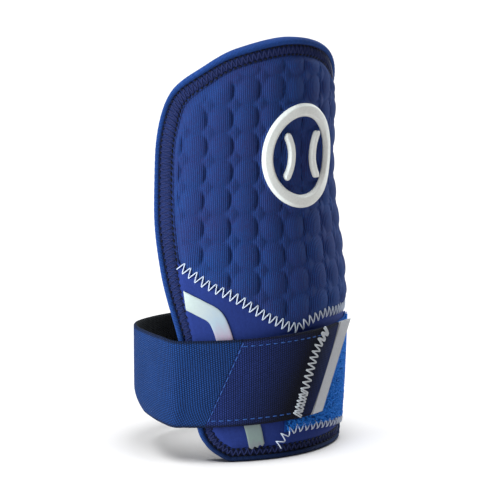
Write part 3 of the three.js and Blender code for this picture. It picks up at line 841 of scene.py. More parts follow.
# %% [markdown]
# Closed pads
#
# A cover is a thin closed pad. Its surface runs in rings from a centre to its border, then back underneath
# to the same centre, so both faces and the edge are one grid. A lift function says how high each ring point
# stands, which is where the relief comes in. A Solidify modifier would repeat the relief underneath, where
# the real cloth lies flat on the foam.

# %% Pad maker
BACK_RINGS = 9
COVER_OVERLAP = 1.2
COVER_UNDERSIDE = -2.1
SEAM_CLEARANCE = 0.1
UPPER_POINTS = 560
LOWER_POINTS = 400


def rings_to(border, centre, shares):
    """Grid of pattern places: each ring is the border shrunk towards the centre by a share."""
    return np.asarray(centre) + shares[:, None, None] * (border - centre)[None]


def flat_lift(lift):
    """Lift function of a face that keeps one lift."""
    return lambda places: np.full(places.shape[:2], lift)


def pad_mesh(name, border, centre, rings, outer_lift, inner_lift):
    """Closed pad: the outer face in rings from the centre to the border, and the inner face back to it."""
    out = rings_to(border, centre, np.linspace(0, 1, rings + 1))
    back_in = rings_to(border, centre, np.linspace(1, 0, BACK_RINGS))
    places = np.vstack([out, back_in])
    lift = np.vstack([outer_lift(out), inner_lift(back_in)])
    points = wrap(places[..., 0], places[..., 1], lift)
    chart = np.concatenate([places, places[:, :1]], 1) * MM
    return grid_mesh(name, points, chart, close_columns=True)


upper_border = cover_border(True, BIND - COVER_OVERLAP, SEAM_CLEARANCE, UPPER_POINTS)
lower_border = cover_border(False, BIND - COVER_OVERLAP, -SEAM_CLEARANCE, LOWER_POINTS)
print("upper cover, mm:", np.ptp(upper_border, axis=0).round(1))
print("lower cover, mm:", np.ptp(lower_border, axis=0).round(1))

# %% [markdown]
# The quilted cover
#
# The stitching at the binding and at the seam pulls the cloth down, so the cushions fade out there and the
# edge dips. Under the raised sign they level off, because it is moulded on to a flat place. Cloth
# simulation would smooth the moulded creases away, so all of this is part of the lift's formula.

# %% Quilted cover
EMBLEM = {"arc": 2.0, "height": 116.8, "radius": 17.5, "stroke": 5.0}
BALL_SEAM = {"offset": 19.5, "radius": 13.6, "stroke": 3.4, "half_angle": 0.70}
UPPER_CENTRE = (0, 104)
UPPER_RINGS = 120
# distances from the binding or the seam between which the cushions come up
RIM_CUSHIONS = (-0.5, 3.5)
SEAM_CUSHIONS = (-0.5, 4.5)
# depth of the dip there, and the distances between which it ends
RIM_DIP = (1.2, -0.8, 1.8)
SEAM_DIP = (0.5, 0.0, 2.5)
SIGN_LEVEL = 1.0
SIGN_FADE = (-0.2, 1.1)


def emblem_distance(arc, height):
    """Distance to the raised sign's strokes on the pattern, less than zero inside them."""
    away = np.hypot(arc - EMBLEM["arc"], height - EMBLEM["height"])
    nearest = np.abs(away - EMBLEM["radius"]) - EMBLEM["stroke"] / 2
    for side in (-1, 1):
        x = arc - EMBLEM["arc"] - side * BALL_SEAM["offset"]
        y = height - EMBLEM["height"]
        angle = np.arctan2(y, -side * x)
        reach = np.abs(np.hypot(x, y) - BALL_SEAM["radius"]) - BALL_SEAM["stroke"] / 2
        past = np.maximum(0, np.abs(angle) - BALL_SEAM["half_angle"]) * BALL_SEAM["radius"]
        nearest = np.minimum(nearest, np.hypot(np.maximum(reach, 0), past) + np.minimum(reach, 0))
    return nearest


def dip(distance, depth, start, end):
    """Depth below the surface that ends smoothly between two distances."""
    return depth * (1 - between(distance, start, end))


def quilted_lift(places):
    """Cushions times a fade from the binding and one from the seam, less a dip at each; mixed with one flat
    level under the raised sign."""
    arc, height = places[..., 0], places[..., 1]
    rim = distance_to(places, RING[::2]) - BINDING_WIDTH - flank_extra(arc, height)
    seam = height - seam_height(arc)
    lift = cushion_relief(arc, height) * between(rim, *RIM_CUSHIONS) * between(seam, *SEAM_CUSHIONS)
    lift = lift - dip(rim, *RIM_DIP) - dip(seam, *SEAM_DIP)
    return mix(lift, SIGN_LEVEL, 1 - between(emblem_distance(arc, height), *SIGN_FADE))


quilted = pad_mesh(
    "quilted_cover", upper_border, UPPER_CENTRE, UPPER_RINGS, quilted_lift, flat_lift(COVER_UNDERSIDE))
quilted_cover = add_piece("quilted_cover_cloth", quilted, QUILTED, "quilted_cover")

# %% [markdown]
# The lower cover
#
# Below the V-shaped seam the cloth is smooth and thinner. It rolls down at the binding and at the seam, and a
# slow swell of two crossed waves keeps it from looking like a sheet of plastic. It is cut from one flat
# sheet, whose size and area come straight from its border on the pattern.

# %% Lower cover
LOWER_CENTRE = (0, 32)
LOWER_RINGS = 60
LOWER_FACE = -0.2
SWELL = 0.2
# lengths over which each wave of the swell varies along the arc and along the height
SWELL_WAVES = ((5.3, 9.0), (-14.0, 6.1))
SWELL_FADE = (0.0, 5.0)
LOWER_RIM_DIP = (1.0, -0.8, 1.8)
LOWER_SEAM_DIP = (0.35, 0.0, 2.0)


def lower_lift(places):
    """One level plus a swell that fades at the binding, less a dip at the binding and one at the seam."""
    arc, height = places[..., 0], places[..., 1]
    rim = distance_to(places, RING[::2]) - BINDING_WIDTH_FOOT - flank_extra(arc, height)
    seam = seam_height(arc) - height
    first, second = [np.sin(arc / wide + height / tall) for wide, tall in SWELL_WAVES]
    lift = LOWER_FACE + SWELL * first * second * between(rim, *SWELL_FADE)
    return lift - dip(rim, *LOWER_RIM_DIP) - dip(seam, *LOWER_SEAM_DIP)


lower = pad_mesh(
    "lower_cover", lower_border, LOWER_CENTRE, LOWER_RINGS, lower_lift, flat_lift(COVER_UNDERSIDE))
lower_cover = add_piece("lower_cover_cloth", lower, SMOOTH, "lower_cover")

# %% [markdown]
# The foam wall and its lining
#
# The inside is a foam wall, thickest in the middle, lined with black knit. It shows from behind and from
# above, and it is smooth, so the same pad maker needs only a few rings for it.

# %% Foam wall
CORE_CENTRE = (0, 84)
CORE_RINGS = 8
CORE_POINTS = 420
CORE_INSET = 1.8
CORE_FACE = -2.4
CORE_EDGE = -5.3
CORE_MIDDLE = -8.6
CORE_THICKENS = (6.0, 28.0)


def core_inner_lift(places):
    """Eases from the edge's lift to the middle's with the distance from the outline."""
    return mix(CORE_EDGE, CORE_MIDDLE, between(distance_to(places, RING[::4]), *CORE_THICKENS))


core_border = even(inset_ring(np.full(len(RING), CORE_INSET)), CORE_POINTS, closed=True)
core = pad_mesh("padded_core", core_border, CORE_CENTRE, CORE_RINGS, flat_lift(CORE_FACE), core_inner_lift)
padded_core = add_piece("padded_core_lining", core, LINING, "padded_core")

# %% [markdown]
# The binding's section
#
# A stretch tape is folded over the whole rim and held by a cover stitch: two rows of needle holes with
# threads looping between them, which press the tape into a flat band beside a round piping. Its section is
# a closed table: along the outside, over the edge and back inside. A curve with a bevel object could carry
# such a section, but it would scale all of it. Here only the pressed band grows where the tape is wider,
# and the piping stays as slim as elsewhere.

# %% Binding section
NEEDLE_PITCH = 2.5
OUTER_ROW = 0.42
INNER_ROW = 0.885
# share of the tape's width, extra inset, lift
BINDING_SECTION = np.array([
    (1.0, -0.1, -2.1), (1.0, 0.0, -1.5), (0.955, 0.0, -0.85), (INNER_ROW, 0.0, -1.2), (0.78, 0.0, -0.85),
    (0.66, 0.0, -0.75), (0.53, 0.0, -0.85), (OUTER_ROW, 0.0, -1.25), (0.335, 0.0, -0.5), (0.195, 0.0, 0.1),
    (0.08, 0.0, -0.45), (0.0, 0.05, -1.6), (0.0, -0.05, -3.7), (0.0, 0.1, -5.6), (0.0, 1.0, -6.8),
    (0.34, 0.0, -7.15), (0.46, 0.0, -6.9), (0.57, 0.0, -7.1), (0.9, 0.0, -7.1), (1.0, 0.0, -6.75),
    (1.0, -0.2, -6.15), (0.8, 0.0, -5.85), (0.0, 1.6, -5.5), (0.0, 1.45, -4.0), (0.0, 1.5, -2.4),
    (0.8, 0.0, -2.15),
])


def tape_inset(share, plain, full):
    """Distance in from the edge at a share of the tape's width: the share of the plain width, and past the
    outer needle row a growing share of the extra width too."""
    past = np.maximum(0, share - OUTER_ROW) / (1 - OUTER_ROW)
    return share * plain + past * (full - plain)


def tape_share(inset, plain, full):
    """Share of the tape's width at a distance in from the edge, the reverse of tape_inset."""
    knee = OUTER_ROW * plain
    past = OUTER_ROW + (1 - OUTER_ROW) * (inset - knee) / (full - knee)
    return np.where(inset < knee, inset / plain, past)


def rim_place(along, share):
    """Pattern place at a distance along the outline and a share of the tape's width in from it."""
    at = (np.asarray(along) / RING_STEP) % len(RING)
    k = np.floor(at).astype(int) % len(RING)
    t = (at - np.floor(at))[..., None]
    edge = mix(RING[k], RING[(k + 1) % len(RING)], t)
    return edge + BIND_INWARD[k] * tape_inset(share, BIND_PLAIN[k], BIND[k])[..., None]


print("needle holes per row:", round(RING_LENGTH / NEEDLE_PITCH))

# %% [markdown]
# The binding tape
#
# The section is carried round the outline as one closed grid. Each needle hole is a small bell-shaped dent in
# it, and a faint pucker runs along the piping. A bump map could fake the dents, but it would leave the edge
# of the tape straight. The pressed band has its own darker finish, picked by cell.

# %% Binding tape
SECTION_POINTS = 56
SECTION_LENGTH = 30.0
OUTSIDE_LIFT = -3.0
PRESSED_FROM = OUTER_ROW - 0.045
HOLE = {"length": 0.55, "share": 0.07, "depth": 0.6}
PUCKER = {"high": 0.07, "wave": 2.4, "share": 0.2, "width": 0.15}


def needle_dent(along, share, row, offset):
    """Bell-shaped dent at each needle hole of a row."""
    to_hole = cell_offset(along, offset, NEEDLE_PITCH)
    return HOLE["depth"] * np.exp(-((to_hole / HOLE["length"]) ** 2) - ((share - row) / HOLE["share"]) ** 2)


def binding_mesh():
    """Smooth closed section at each point of the outline, with dents and puckers on its outer side."""
    inset = tape_inset(BINDING_SECTION[:, 0, None], BIND_PLAIN, BIND) + BINDING_SECTION[:, 1, None]
    lift = np.broadcast_to(BINDING_SECTION[:, 2, None], inset.shape)
    samples = np.linspace(0, len(BINDING_SECTION), SECTION_POINTS, endpoint=False)
    section = smooth_curve(np.stack([inset, lift], -1), closed=True)(samples)
    inset, lift = section[..., 0], section[..., 1]
    along = np.arange(len(RING)) * RING_STEP
    share = tape_share(inset, BIND_PLAIN, BIND)
    outer = between(lift, OUTSIDE_LIFT, OUTSIDE_LIFT + 1)
    lift = lift - outer * needle_dent(along, share, OUTER_ROW, 0.0)
    lift = lift - outer * needle_dent(along, share, INNER_ROW, NEEDLE_PITCH / 2)
    near_piping = np.exp(-(((share - PUCKER["share"]) / PUCKER["width"]) ** 2))
    lift = lift + PUCKER["high"] * outer * np.sin(along * PUCKER["wave"]) * near_piping
    place = RING + BIND_INWARD * inset[..., None]
    points = wrap(place[..., 0], np.maximum(0, place[..., 1]), lift)
    steps = np.linalg.norm(np.diff(section[:, 0], axis=0), axis=-1)
    across = np.concatenate([[0], np.cumsum(steps), [SECTION_LENGTH]])
    chart = np.stack(np.meshgrid(np.arange(len(RING) + 1) * RING_STEP, across), -1) * MM
    pressed = (share[:, :1] > PRESSED_FROM) & (lift[:, :1] > OUTSIDE_LIFT)
    kinds = np.broadcast_to(pressed, share.shape)
    return grid_mesh("edge_binding", points, chart, close_rows=True, close_columns=True, kinds=kinds)


add_piece("edge_binding_tape", binding_mesh(), [TAPE, PRESSED_TAPE], "edge_binding")

# %% [markdown]
# Stitches
#
# Every stitch is its own short thread that comes up through one hole and goes down another. It runs straight
# on the pattern, arches a little off the cloth and thins out where it dives in. A curve object for each
# stitch would mean thousands of objects, so all stitches of a row are made at once, as one array of tubes.

# %% Stitch maker
def stitches_mesh(name, start, end, lift, radius, rise, sides=6, steps=8):
    """A tube for each pair of holes: its middle goes from start to end, its lift follows one minus the fourth
    power of the distance from mid-stitch, and a circle round it shrinks to nothing at both ends."""
    t = 0.5 - 0.5 * np.cos(np.linspace(0, np.pi, steps + 1))
    far = 2 * t - 1
    line = start[:, None] + (end - start)[:, None] * t[:, None]
    arch = lift + rise * (1 - far ** 4)
    middle = wrap(line[..., 0], line[..., 1], arch)
    above = wrap(line[..., 0], line[..., 1], arch + 1)
    along = unit(np.gradient(middle, axis=1))
    side = unit(np.cross(along, above - middle))
    up = np.cross(side, along)
    turn = 2 * np.pi * np.arange(sides) / sides
    circle = up[:, :, None] * np.cos(turn)[:, None] + side[:, :, None] * np.sin(turn)[:, None]
    thick = radius * MM * np.sqrt(np.maximum(0, 1 - far ** 8))
    points = middle[:, :, None] + thick[None, :, None, None] * circle
    cells, corners = grid_cells(steps + 1, sides, close_columns=True)
    length = np.linalg.norm(end - start, axis=1)[:, None, None] * t[None, :, None]
    around = np.linspace(0, 2 * np.pi * radius, sides + 1)[None, None, :]
    chart = np.stack(np.broadcast_arrays(length, around), -1) * MM
    first_corner = np.arange(len(start)) * (steps + 1) * sides
    every = first_corner[:, None, None] + cells[None]
    maps = chart.reshape(len(start), -1, 2)[:, corners.reshape(-1)]
    mesh = fill_mesh(name, points.reshape(-1, 3), every.reshape(-1, 4), maps.reshape(-1, 2))
    weld(mesh)
    return mesh


def sew(name, start, end, finish, **shape):
    """Adds the stitches between pairs of holes as one piece; the shape gives lift, radius and rise."""
    return add_piece(name, stitches_mesh(name, start, end, **shape), finish)


print("faces of one stitch:", len(grid_cells(8 + 1, 6, close_columns=True)[0]))

# %% [markdown]
# Thread finish
#
# A stitch's map runs along and round it, so a diagonal wave on that map gives the twist of its yarns: painted
# shade in the grooves and painted light on the crests, with a bump of the same wave.

# %% Threads
TWIST = 0.5
GROOVE = 0.08
THREAD_GLOSS = 0.2


def thread(name, dark, light, roughness=0.6):
    """Sewing thread: a diagonal wave on its map paints shade into the grooves between twisted yarns and light
    on their crests.
    """
    material, tree, shader = new_finish(name)
    axes = split_axes(tree, pattern_map(tree))
    slant = calc(tree, "ADD", axes["X"], axes["Y"])
    wave = ripple(tree, calc(tree, "DIVIDE", slant, TWIST * MM))
    tree.links.new(colour_mix(tree, wave, tint(*dark), tint(*light)), shader.inputs["Base Color"])
    raise_by(tree, shader, wave, GROOVE)
    shader.inputs["Roughness"].default_value = roughness
    shader.inputs["Specular IOR Level"].default_value = THREAD_GLOSS
    return material


WHITE_THREAD = thread("white_thread", (138, 148, 172), (206, 212, 224))
GREY_THREAD = thread("grey_thread", (128, 132, 140), (196, 199, 204))
NAVY_THREAD = thread("navy_thread", (16, 18, 46), (32, 42, 92))
BLACK_THREAD = thread("black_thread", (3, 3, 6), (8, 9, 16))
BLUE_THREAD = thread("blue_thread", (22, 46, 96), (44, 84, 152))
print("threads:", [m.name for m in bpy.data.materials if "thread" in m.name])

# %% [markdown]
# Stitching on the binding
#
# The cover stitch shows as navy threads that cross between the two needle rows, one set each way, and as
# short stitches along both rows, black to paint the shade in the needle holes. On the inside two plain rows
# of blue stitches hold the tape. A painted line would look flat from the side, so each stitch is a thread of
# its own.

# %% Cover stitch
HALF_PITCH = NEEDLE_PITCH / 2
ROW_STITCH = 1.3
INSIDE_ROWS = (0.5, 0.85)
INSIDE_STITCH = 1.8
needles = np.arange(0, RING_LENGTH - HALF_PITCH, NEEDLE_PITCH)
outer_holes = rim_place(needles, OUTER_ROW)
inner_holes = rim_place(needles + HALF_PITCH, INNER_ROW)

cross_end = np.vstack([inner_holes, rim_place(needles - HALF_PITCH, INNER_ROW)])
sew("cover_stitch", np.vstack([outer_holes, outer_holes]), cross_end, NAVY_THREAD,
    lift=-1.05, radius=0.24, rise=0.36, sides=5, steps=6)

# the needle rows' stitches are black for painted shade in the needle holes
row_end = np.vstack([
    rim_place(needles + ROW_STITCH, OUTER_ROW), rim_place(needles + HALF_PITCH + ROW_STITCH, INNER_ROW)])
sew("needle_rows", np.vstack([outer_holes, inner_holes]), row_end, BLACK_THREAD,
    lift=-1.45, radius=0.3, rise=0.42, sides=5, steps=6)

inside_start = np.vstack([rim_place(needles, row) for row in INSIDE_ROWS])
inside_end = np.vstack([rim_place(needles + INSIDE_STITCH, row) for row in INSIDE_ROWS])
sew("inside_rows", inside_start, inside_end, BLUE_THREAD,
    lift=-6.95, radius=0.22, rise=-0.3, sides=5, steps=6)

# %% [markdown]
# Zigzag seams
#
# A wide white zigzag joins the two covers along the V, and a second one holds the lower edge of the loop
# patch. The path is cut into even half pitches, and holes step to one side and the other of it, as the
# needle of a zigzag machine does. So the stitches keep their width round every bend of the seam.

# %% Zigzags on the shield
SEAM_ARCS = (-50.3, 44.6)
SEAM_PATH_POINTS = 160
PATCH_PATH_POINTS = 80
# arc, height
PATCH_SEAM = np.array([(-10.6, 5.0), (-6.6, 10.2), (3.2, 11.4), (32.6, 8.6)])


def zigzag_holes(path, pitch, width):
    """Holes at even half pitches along a path, alternately half the width to its left and right."""
    middle = even(path, int(2 * length_of(path) / pitch) + 1)
    along = unit(np.gradient(middle, axis=0))
    left = np.stack([-along[:, 1], along[:, 0]], -1)
    swing = np.where(np.arange(len(middle)) % 2, 0.5, -0.5)[:, None] * width
    return middle + left * swing


seam_arcs = np.linspace(*SEAM_ARCS, SEAM_PATH_POINTS)
seam_path = np.stack([seam_arcs, seam_height(seam_arcs)], -1)
seam_holes = zigzag_holes(seam_path, pitch=2.95, width=4.3)
sew("seam_zigzag", seam_holes[:-1], seam_holes[1:], WHITE_THREAD, lift=-0.25, radius=0.24, rise=0.5)

patch_path = smooth_curve(PATCH_SEAM)(np.linspace(0, len(PATCH_SEAM) - 1, PATCH_PATH_POINTS))
patch_holes = zigzag_holes(patch_path, pitch=3.1, width=3.8)
sew("patch_zigzag", patch_holes[:-1], patch_holes[1:], WHITE_THREAD, lift=0.35, radius=0.24, rise=0.9)

# %% [markdown]
# Flat bands
#
# Strap, strip and label are bands: a middle surface with a thickness that rounds off to nothing at both long
# edges. Going up the outer face and down the inner one makes a closed section; one more section squeezed flat
# closes each end. A Solidify modifier would leave square edges, which woven tape doesn't have.

# %% Band maker
EDGE_RADIUS = 0.8


def edge_shares(count):
    """Shares across a band, closer together at both edges."""
    return 0.5 - 0.5 * np.cos(np.linspace(0, np.pi, count))


def edge_round(share, width):
    """Half thickness as a share: one along the band, a quarter circle down to nothing at both edges."""
    from_edge = np.minimum(share, 1 - share) * width
    return np.sqrt(np.maximum(0, 1 - np.maximum(0, 1 - from_edge / EDGE_RADIUS) ** 2))


def band_mesh(name, middle, normal, shares, width, thick, along, lining=False):
    """Closed band: middle and normal are grids of (steps, shares, 3) in metres; along gives each step's
    distance on the cloth, for the whole width or for each share."""
    half_thick = edge_round(shares, width)[None, :, None] * thick * MM / 2
    face = middle + normal * half_thick
    rear = middle - normal * half_thick
    section = np.concatenate([face, rear[:, -2:0:-1]], 1)
    flat = np.concatenate([middle, middle[:, -2:0:-1]], 1)
    points = np.concatenate([flat[:1], section, flat[-1:]])
    up = np.concatenate([shares, 2 - shares[-2::-1]]) * width
    run = np.broadcast_to(along.reshape(len(along), -1), middle.shape[:2])
    run = np.concatenate([run, run[:, -2::-1]], 1)
    run = np.concatenate([run[:1], run, run[-1:]])
    chart = np.stack([run, np.broadcast_to(up, run.shape)], -1) * MM
    inner = np.arange(section.shape[1]) >= len(shares) - 1
    kinds = np.broadcast_to(inner & lining, (len(points) - 1, section.shape[1]))
    return grid_mesh(name, points, chart, close_columns=True, kinds=kinds)


print("five shares across a band:", edge_shares(5).round(2))

# %% [markdown]
# The strap
#
# The elastic band is sewn inside the right edge, goes round the back of the wrist, comes over the left edge
# and runs along the front to a slanted seam. Its lower edge curls in at the left bend. A taut elastic takes a
# plain smooth line, so nothing has to be draped: each share of its width is one smooth curve through the
# same table, and its weave is measured along that curve.

# %% Strap
STRAP_STEPS = 330
STRAP_SHARES = 26
STRAP_CURL = 3.2
STRAP_CURL_SHARE = 0.28
STRAP_SEWN_ARCS = [31, 36, 41, 45.5, 49.5]
STRAP_SEWN_LIFT = -8.1
STRAP_LOOP_MIDDLE = np.array([0.0, -10.0])
# x, y, curl
STRAP_PLAN = np.array([
    (38, -13.5, 0), (37.6, -3, 0), (33, 6.2, 0), (24, 13.4, 0), (11.5, 17.2, 0), (-3, 18.2, 0),
    (-17.5, 17.2, 0.5), (-30.8, 12.2, 1), (-38, 3.2, 1), (-42, -9, 0.5), (-44.3, -19.4, 0.1),
])
STRAP_FRONT_ARCS = np.array([-49.5, -45.6, -41.9])
STRAP_JOINT = {"low": -38.3, "high": -25.5}
STRAP_JOINT_GAP = 0.05


def strap_middle(shares, steps):
    """Smooth curve, for each share of the width, through the sewn end, the free loop and the front."""
    curl = STRAP_CURL * np.maximum(0, 1 - shares / STRAP_CURL_SHARE) ** 2
    height = strap_height(STRAP_RISE_FROM, shares)
    sewn = [wrap_mm(arc, height, STRAP_SEWN_LIFT) for arc in STRAP_SEWN_ARCS]
    free = []
    for x, y, amount in STRAP_PLAN:
        inward = unit(STRAP_LOOP_MIDDLE - (x, y))
        free.append(np.stack([x + inward[0] * curl * amount, y + inward[1] * curl * amount, height], -1))
    joint = mix(STRAP_JOINT["low"], STRAP_JOINT["high"], shares) - STRAP_JOINT_GAP
    first = STRAP_FRONT_ARCS[0]
    reach = (joint - first) / (STRAP_JOINT["low"] - first)
    arcs = [first + (arc - first) * reach for arc in STRAP_FRONT_ARCS] + [joint]
    front = [wrap_mm(arc, strap_height(arc, shares), STRAP_LIFT) for arc in arcs]
    table = np.array(sewn + free + front)
    return to_part(smooth_curve(table)(np.linspace(0, len(table) - 1, steps)))


def strap_mesh():
    """Band whose normals are the cross product of its directions along and across."""
    shares = edge_shares(STRAP_SHARES)
    middle = strap_middle(shares, STRAP_STEPS)
    normal = unit(np.cross(np.gradient(middle, axis=0), np.gradient(middle, axis=1)))
    steps = np.linalg.norm(np.diff(middle, axis=0), axis=2) / MM
    along = np.vstack([np.zeros(len(shares)), np.cumsum(steps, axis=0)])
    print("strap length at both edges, mm:", np.round(along[-1, [0, -1]]))
    return band_mesh("strap_elastic", middle, normal, shares, STRAP_WIDTH, STRAP_THICK, along, True)


add_piece("strap_elastic_band", strap_mesh(), [ELASTIC, LINING], "strap_elastic")

# %% [markdown]
# The strap's end panel
#
# From the slanted seam a finer woven panel goes on to the strap's slanted end. It lies flat on the front, so
# its middle surface is simply wrapped at one lift.

# %% End panel
END_STEPS = 110
END_SHARES = 24
END_LENGTH = 42


def front_grid(left, right, shares, steps, lift):
    """Middle surface and normals of a band on the front, between two slanted lines."""
    u = np.linspace(0, 1, steps)[:, None]
    start = mix(left["low"], left["high"], shares)
    stop = mix(right["low"], right["high"], shares)
    arc = mix(start, stop, u)
    height = strap_height(arc, shares)
    middle = wrap(arc, height, lift)
    return middle, unit(wrap(arc, height, lift + 1) - middle)


end_shares = edge_shares(END_SHARES)
end_middle, end_normal = front_grid(STRAP_JOINT, STRAP_TIP, end_shares, END_STEPS, STRAP_LIFT)
end_along = np.linspace(0, END_LENGTH, END_STEPS)
end_panel = band_mesh(
    "strap_end", end_middle, end_normal, end_shares, STRAP_WIDTH, STRAP_THICK, end_along, True)
add_piece("strap_end_panel", end_panel, [WOVEN, LINING], "strap_end")

# %% [markdown]
# Stitches on the strap
#
# Light blue dashes run along both edges of the end panel and down its slanted seam. Near the free end a heavy
# grey zigzag holds the fastening tape behind it, sewn twice over at both ends. The stitch maker needs only
# new holes for this: even dashes along a line, and one zigzag run three times with small shifts.

# %% Strap stitches
STITCH_LIFT = STRAP_LIFT + STRAP_THICK / 2 - 0.15
FINE_STEP = 0.1
ROW_POINTS = 60
TIP_PATH_POINTS = 90
EDGE_DASH = {"pitch": 2.75, "length": 1.7}
JOINT_DASH = {"pitch": 2.8, "length": 1.9}
# share of the strap's width, from arc, to arc
EDGE_ROWS = [(0.92, -25.5, 7), (0.08, -36, -5.5)]
# arc, height
JOINT_LINE = np.array([(-25.5, 47.4), (-37.5, 15.6)])
TIP_SEAM = np.array([(9.4, 48.6), (4.2, 41.9), (-0.2, 29.4), (-4.2, 16.6)])
TIP_PITCH = 2.4
# stretch of the path, shift to the right, shift up, width
TIP_RUNS = [(slice(None), 0, 0, 4.3), (slice(0, 24), 0.5, 0.5, 4.0), (slice(-22, None), 0.4, 0.6, 4.0)]


def dashes(path, pitch, length):
    """Starts and ends of stitches of one length at even pitches along a path."""
    total = length_of(path)
    fine = even(path, int(total / FINE_STEP) + 1)
    start = np.arange(0, total - length, pitch)
    return fine[(start / FINE_STEP).astype(int)], fine[((start + length) / FINE_STEP).astype(int)]


def panel_row(share, from_arc, to_arc):
    """Line along the strap at a share of its width."""
    arc = np.linspace(from_arc, to_arc, ROW_POINTS)
    return np.stack([arc, strap_height(arc, share)], -1)


rows = [dashes(panel_row(*row), **EDGE_DASH) for row in EDGE_ROWS]
rows.append(dashes(JOINT_LINE, **JOINT_DASH))
starts, ends = [np.vstack(holes) for holes in zip(*rows)]
sew("strap_dashes", starts, ends, BLUE_THREAD, lift=STITCH_LIFT, radius=0.22, rise=0.25)

tip_path = smooth_curve(TIP_SEAM)(np.linspace(0, len(TIP_SEAM) - 1, TIP_PATH_POINTS))
tip_holes = [
    zigzag_holes(tip_path[part] + (right, up), TIP_PITCH, width) for part, right, up, width in TIP_RUNS]
starts = np.vstack([holes[:-1] for holes in tip_holes])
ends = np.vstack([holes[1:] for holes in tip_holes])
sew("strap_tip_zigzag", starts, ends, GREY_THREAD, lift=STITCH_LIFT, radius=0.33, rise=0.4)

# %% [markdown]
# The label
#
# A stiff woven tab goes on straight from the strap's slanted end. Wrapped like the rest it would look limp,
# so its surface is flat, between the corners that were worked out at the start. Its weave is plain silver
# with a border line.

# %% Label
LABEL_STEPS = 60
LABEL_SHARES = 14
LABEL_CLOTH = 0.9


def label_mesh():
    """Flat band: the lower and upper corners mixed along it, and a share of its width across."""
    shares = edge_shares(LABEL_SHARES)
    u = np.linspace(0, 1, LABEL_STEPS)[:, None, None]
    low, beside, _, high = corners_mm
    middle = to_part(mix(low, high, u) + (beside - low) * shares[:, None])
    along = u.ravel() * np.linalg.norm(high - low)
    return band_mesh("pull_label", middle, label_normal, shares, LABEL["width"], LABEL_CLOTH, along)


add_piece("pull_label_tab", label_mesh(), SILVER_WEAVE, "pull_label")

# %% [markdown]
# The silver film
#
# The film's faint interference colours change along the strip, from a cool white over pink to a greenish
# grey under the strap; its darkening to grey at the low end is painted shade. A ramp along the strip's map
# holds them. A slow noise pushes the ramp about, so the bands of colour don't run straight across.

# %% Film finish
FILM_LENGTH = 80.0
FILM_PUSH = 0.05
FILM_GRAIN = 0.03
FILM_MOTTLE = {"Broad": 140.0, "Fine": 600.0}
FILM_GLOSS = {"Roughness": 0.4, "Metallic": 0.2}
# millimetres along the strip, then red, green and blue there: the film's tints, darkened by painted shade at
# the low end
FILM_COLOURS = [
    (0, 155, 164, 160), (9, 158, 166, 169), (15, 147, 161, 174), (20, 152, 148, 164), (24, 162, 138, 160),
    (40, 140, 146, 146), (58, 104, 116, 118), (63, 108, 124, 120), (66, 110, 110, 118),
]


def film(name):
    """Silver film: a colour ramp along its length, pushed to and fro by the mottle."""
    material, tree, shader = new_finish(name)
    chart = pattern_map(tree)
    shade = put_group(tree, MOTTLE, chart, **FILM_MOTTLE)
    along = calc(tree, "DIVIDE", split_axes(tree, chart)["X"], FILM_LENGTH * MM)
    pushed = calc(tree, "MULTIPLY_ADD", shade, FILM_PUSH, calc(tree, "SUBTRACT", along, FILM_PUSH / 2))
    stops = [(distance, tint(*colour)) for distance, *colour in FILM_COLOURS]
    tree.links.new(ramp_through(tree, pushed, stops, FILM_LENGTH), shader.inputs["Base Color"])
    raise_by(tree, shader, shade, FILM_GRAIN)
    for label, value in FILM_GLOSS.items():
        shader.inputs[label].default_value = value
    return material


SILVER_FILM = film("silver_film")
print("film colours along the strip:", len(FILM_COLOURS))

# %% [markdown]
# The reflective strip
#
# The strip of that film bends across the lower left. Its upper end is cut along the binding and its lower end
# is pinked in small teeth. Both could be cut with a boolean, but sliding the band's points along it, by an
# amount that varies across its width, gives the same ends on a clean grid.

# %% Reflective strip
STRIP_STEPS = 150
STRIP_SHARES = 25
STRIP_WIDTH = 6.1
STRIP_THICK = 0.5
STRIP_LIFT = 0.2
# arc, height
STRIP = np.array([
    (-47.4, 63.1), (-41, 60.1), (-36, 57.2), (-33.5, 52.8), (-31.4, 46.4), (-26.4, 31), (-20.5, 13.2),
    (-19, 7.2),
])
STRIP_CUT = (2.4, -2.0)
STRIP_TEETH = {"count": 3, "deep": 2.2, "slide": 0.9}
STRIP_END_SHARE = 0.12


def strip_mesh():
    """Band along a curved middle line; both ends are moved along the line by an amount that varies across."""
    shares = edge_shares(STRIP_SHARES)
    u = np.linspace(0, 1, STRIP_STEPS)[:, None]
    line = even(smooth_curve(STRIP)(u * (len(STRIP) - 1)), STRIP_STEPS)
    along = unit(np.gradient(line, axis=0))
    across = np.stack([-along[:, 1], along[:, 0]], -1)
    teeth = np.abs((shares * STRIP_TEETH["count"] + 0.5) % 1 - 0.5) * STRIP_TEETH["deep"]
    slide = mix(*STRIP_CUT, shares) * (1 - between(u, 0, STRIP_END_SHARE))
    slide = slide + (STRIP_TEETH["slide"] + teeth) * between(u, 1 - STRIP_END_SHARE, 1)
    sideways = ((shares - 0.5) * STRIP_WIDTH)[:, None]
    place = line[:, None] + across[:, None] * sideways + along[:, None] * slide[..., None]
    middle = wrap(place[..., 0], place[..., 1], STRIP_LIFT)
    normal = unit(wrap(place[..., 0], place[..., 1], STRIP_LIFT + 1) - middle)
    run = u.ravel() * length_of(line)
    return band_mesh("reflective_strip", middle, normal, shares, STRIP_WIDTH, STRIP_THICK, run)


add_piece("reflective_strip_film", strip_mesh(), SILVER_FILM, "reflective_strip")

# %% [markdown]
# The loop patch
#
# The strap fastens to a field of loop pile. Its ground is a thin slab, and wherever the strap leaves it bare
# thousands of small loops stand on it. Hair could grow them, but it would have to be turned into a mesh
# first, so each is a stitch with a high arch, in a direction from a seeded random choice.

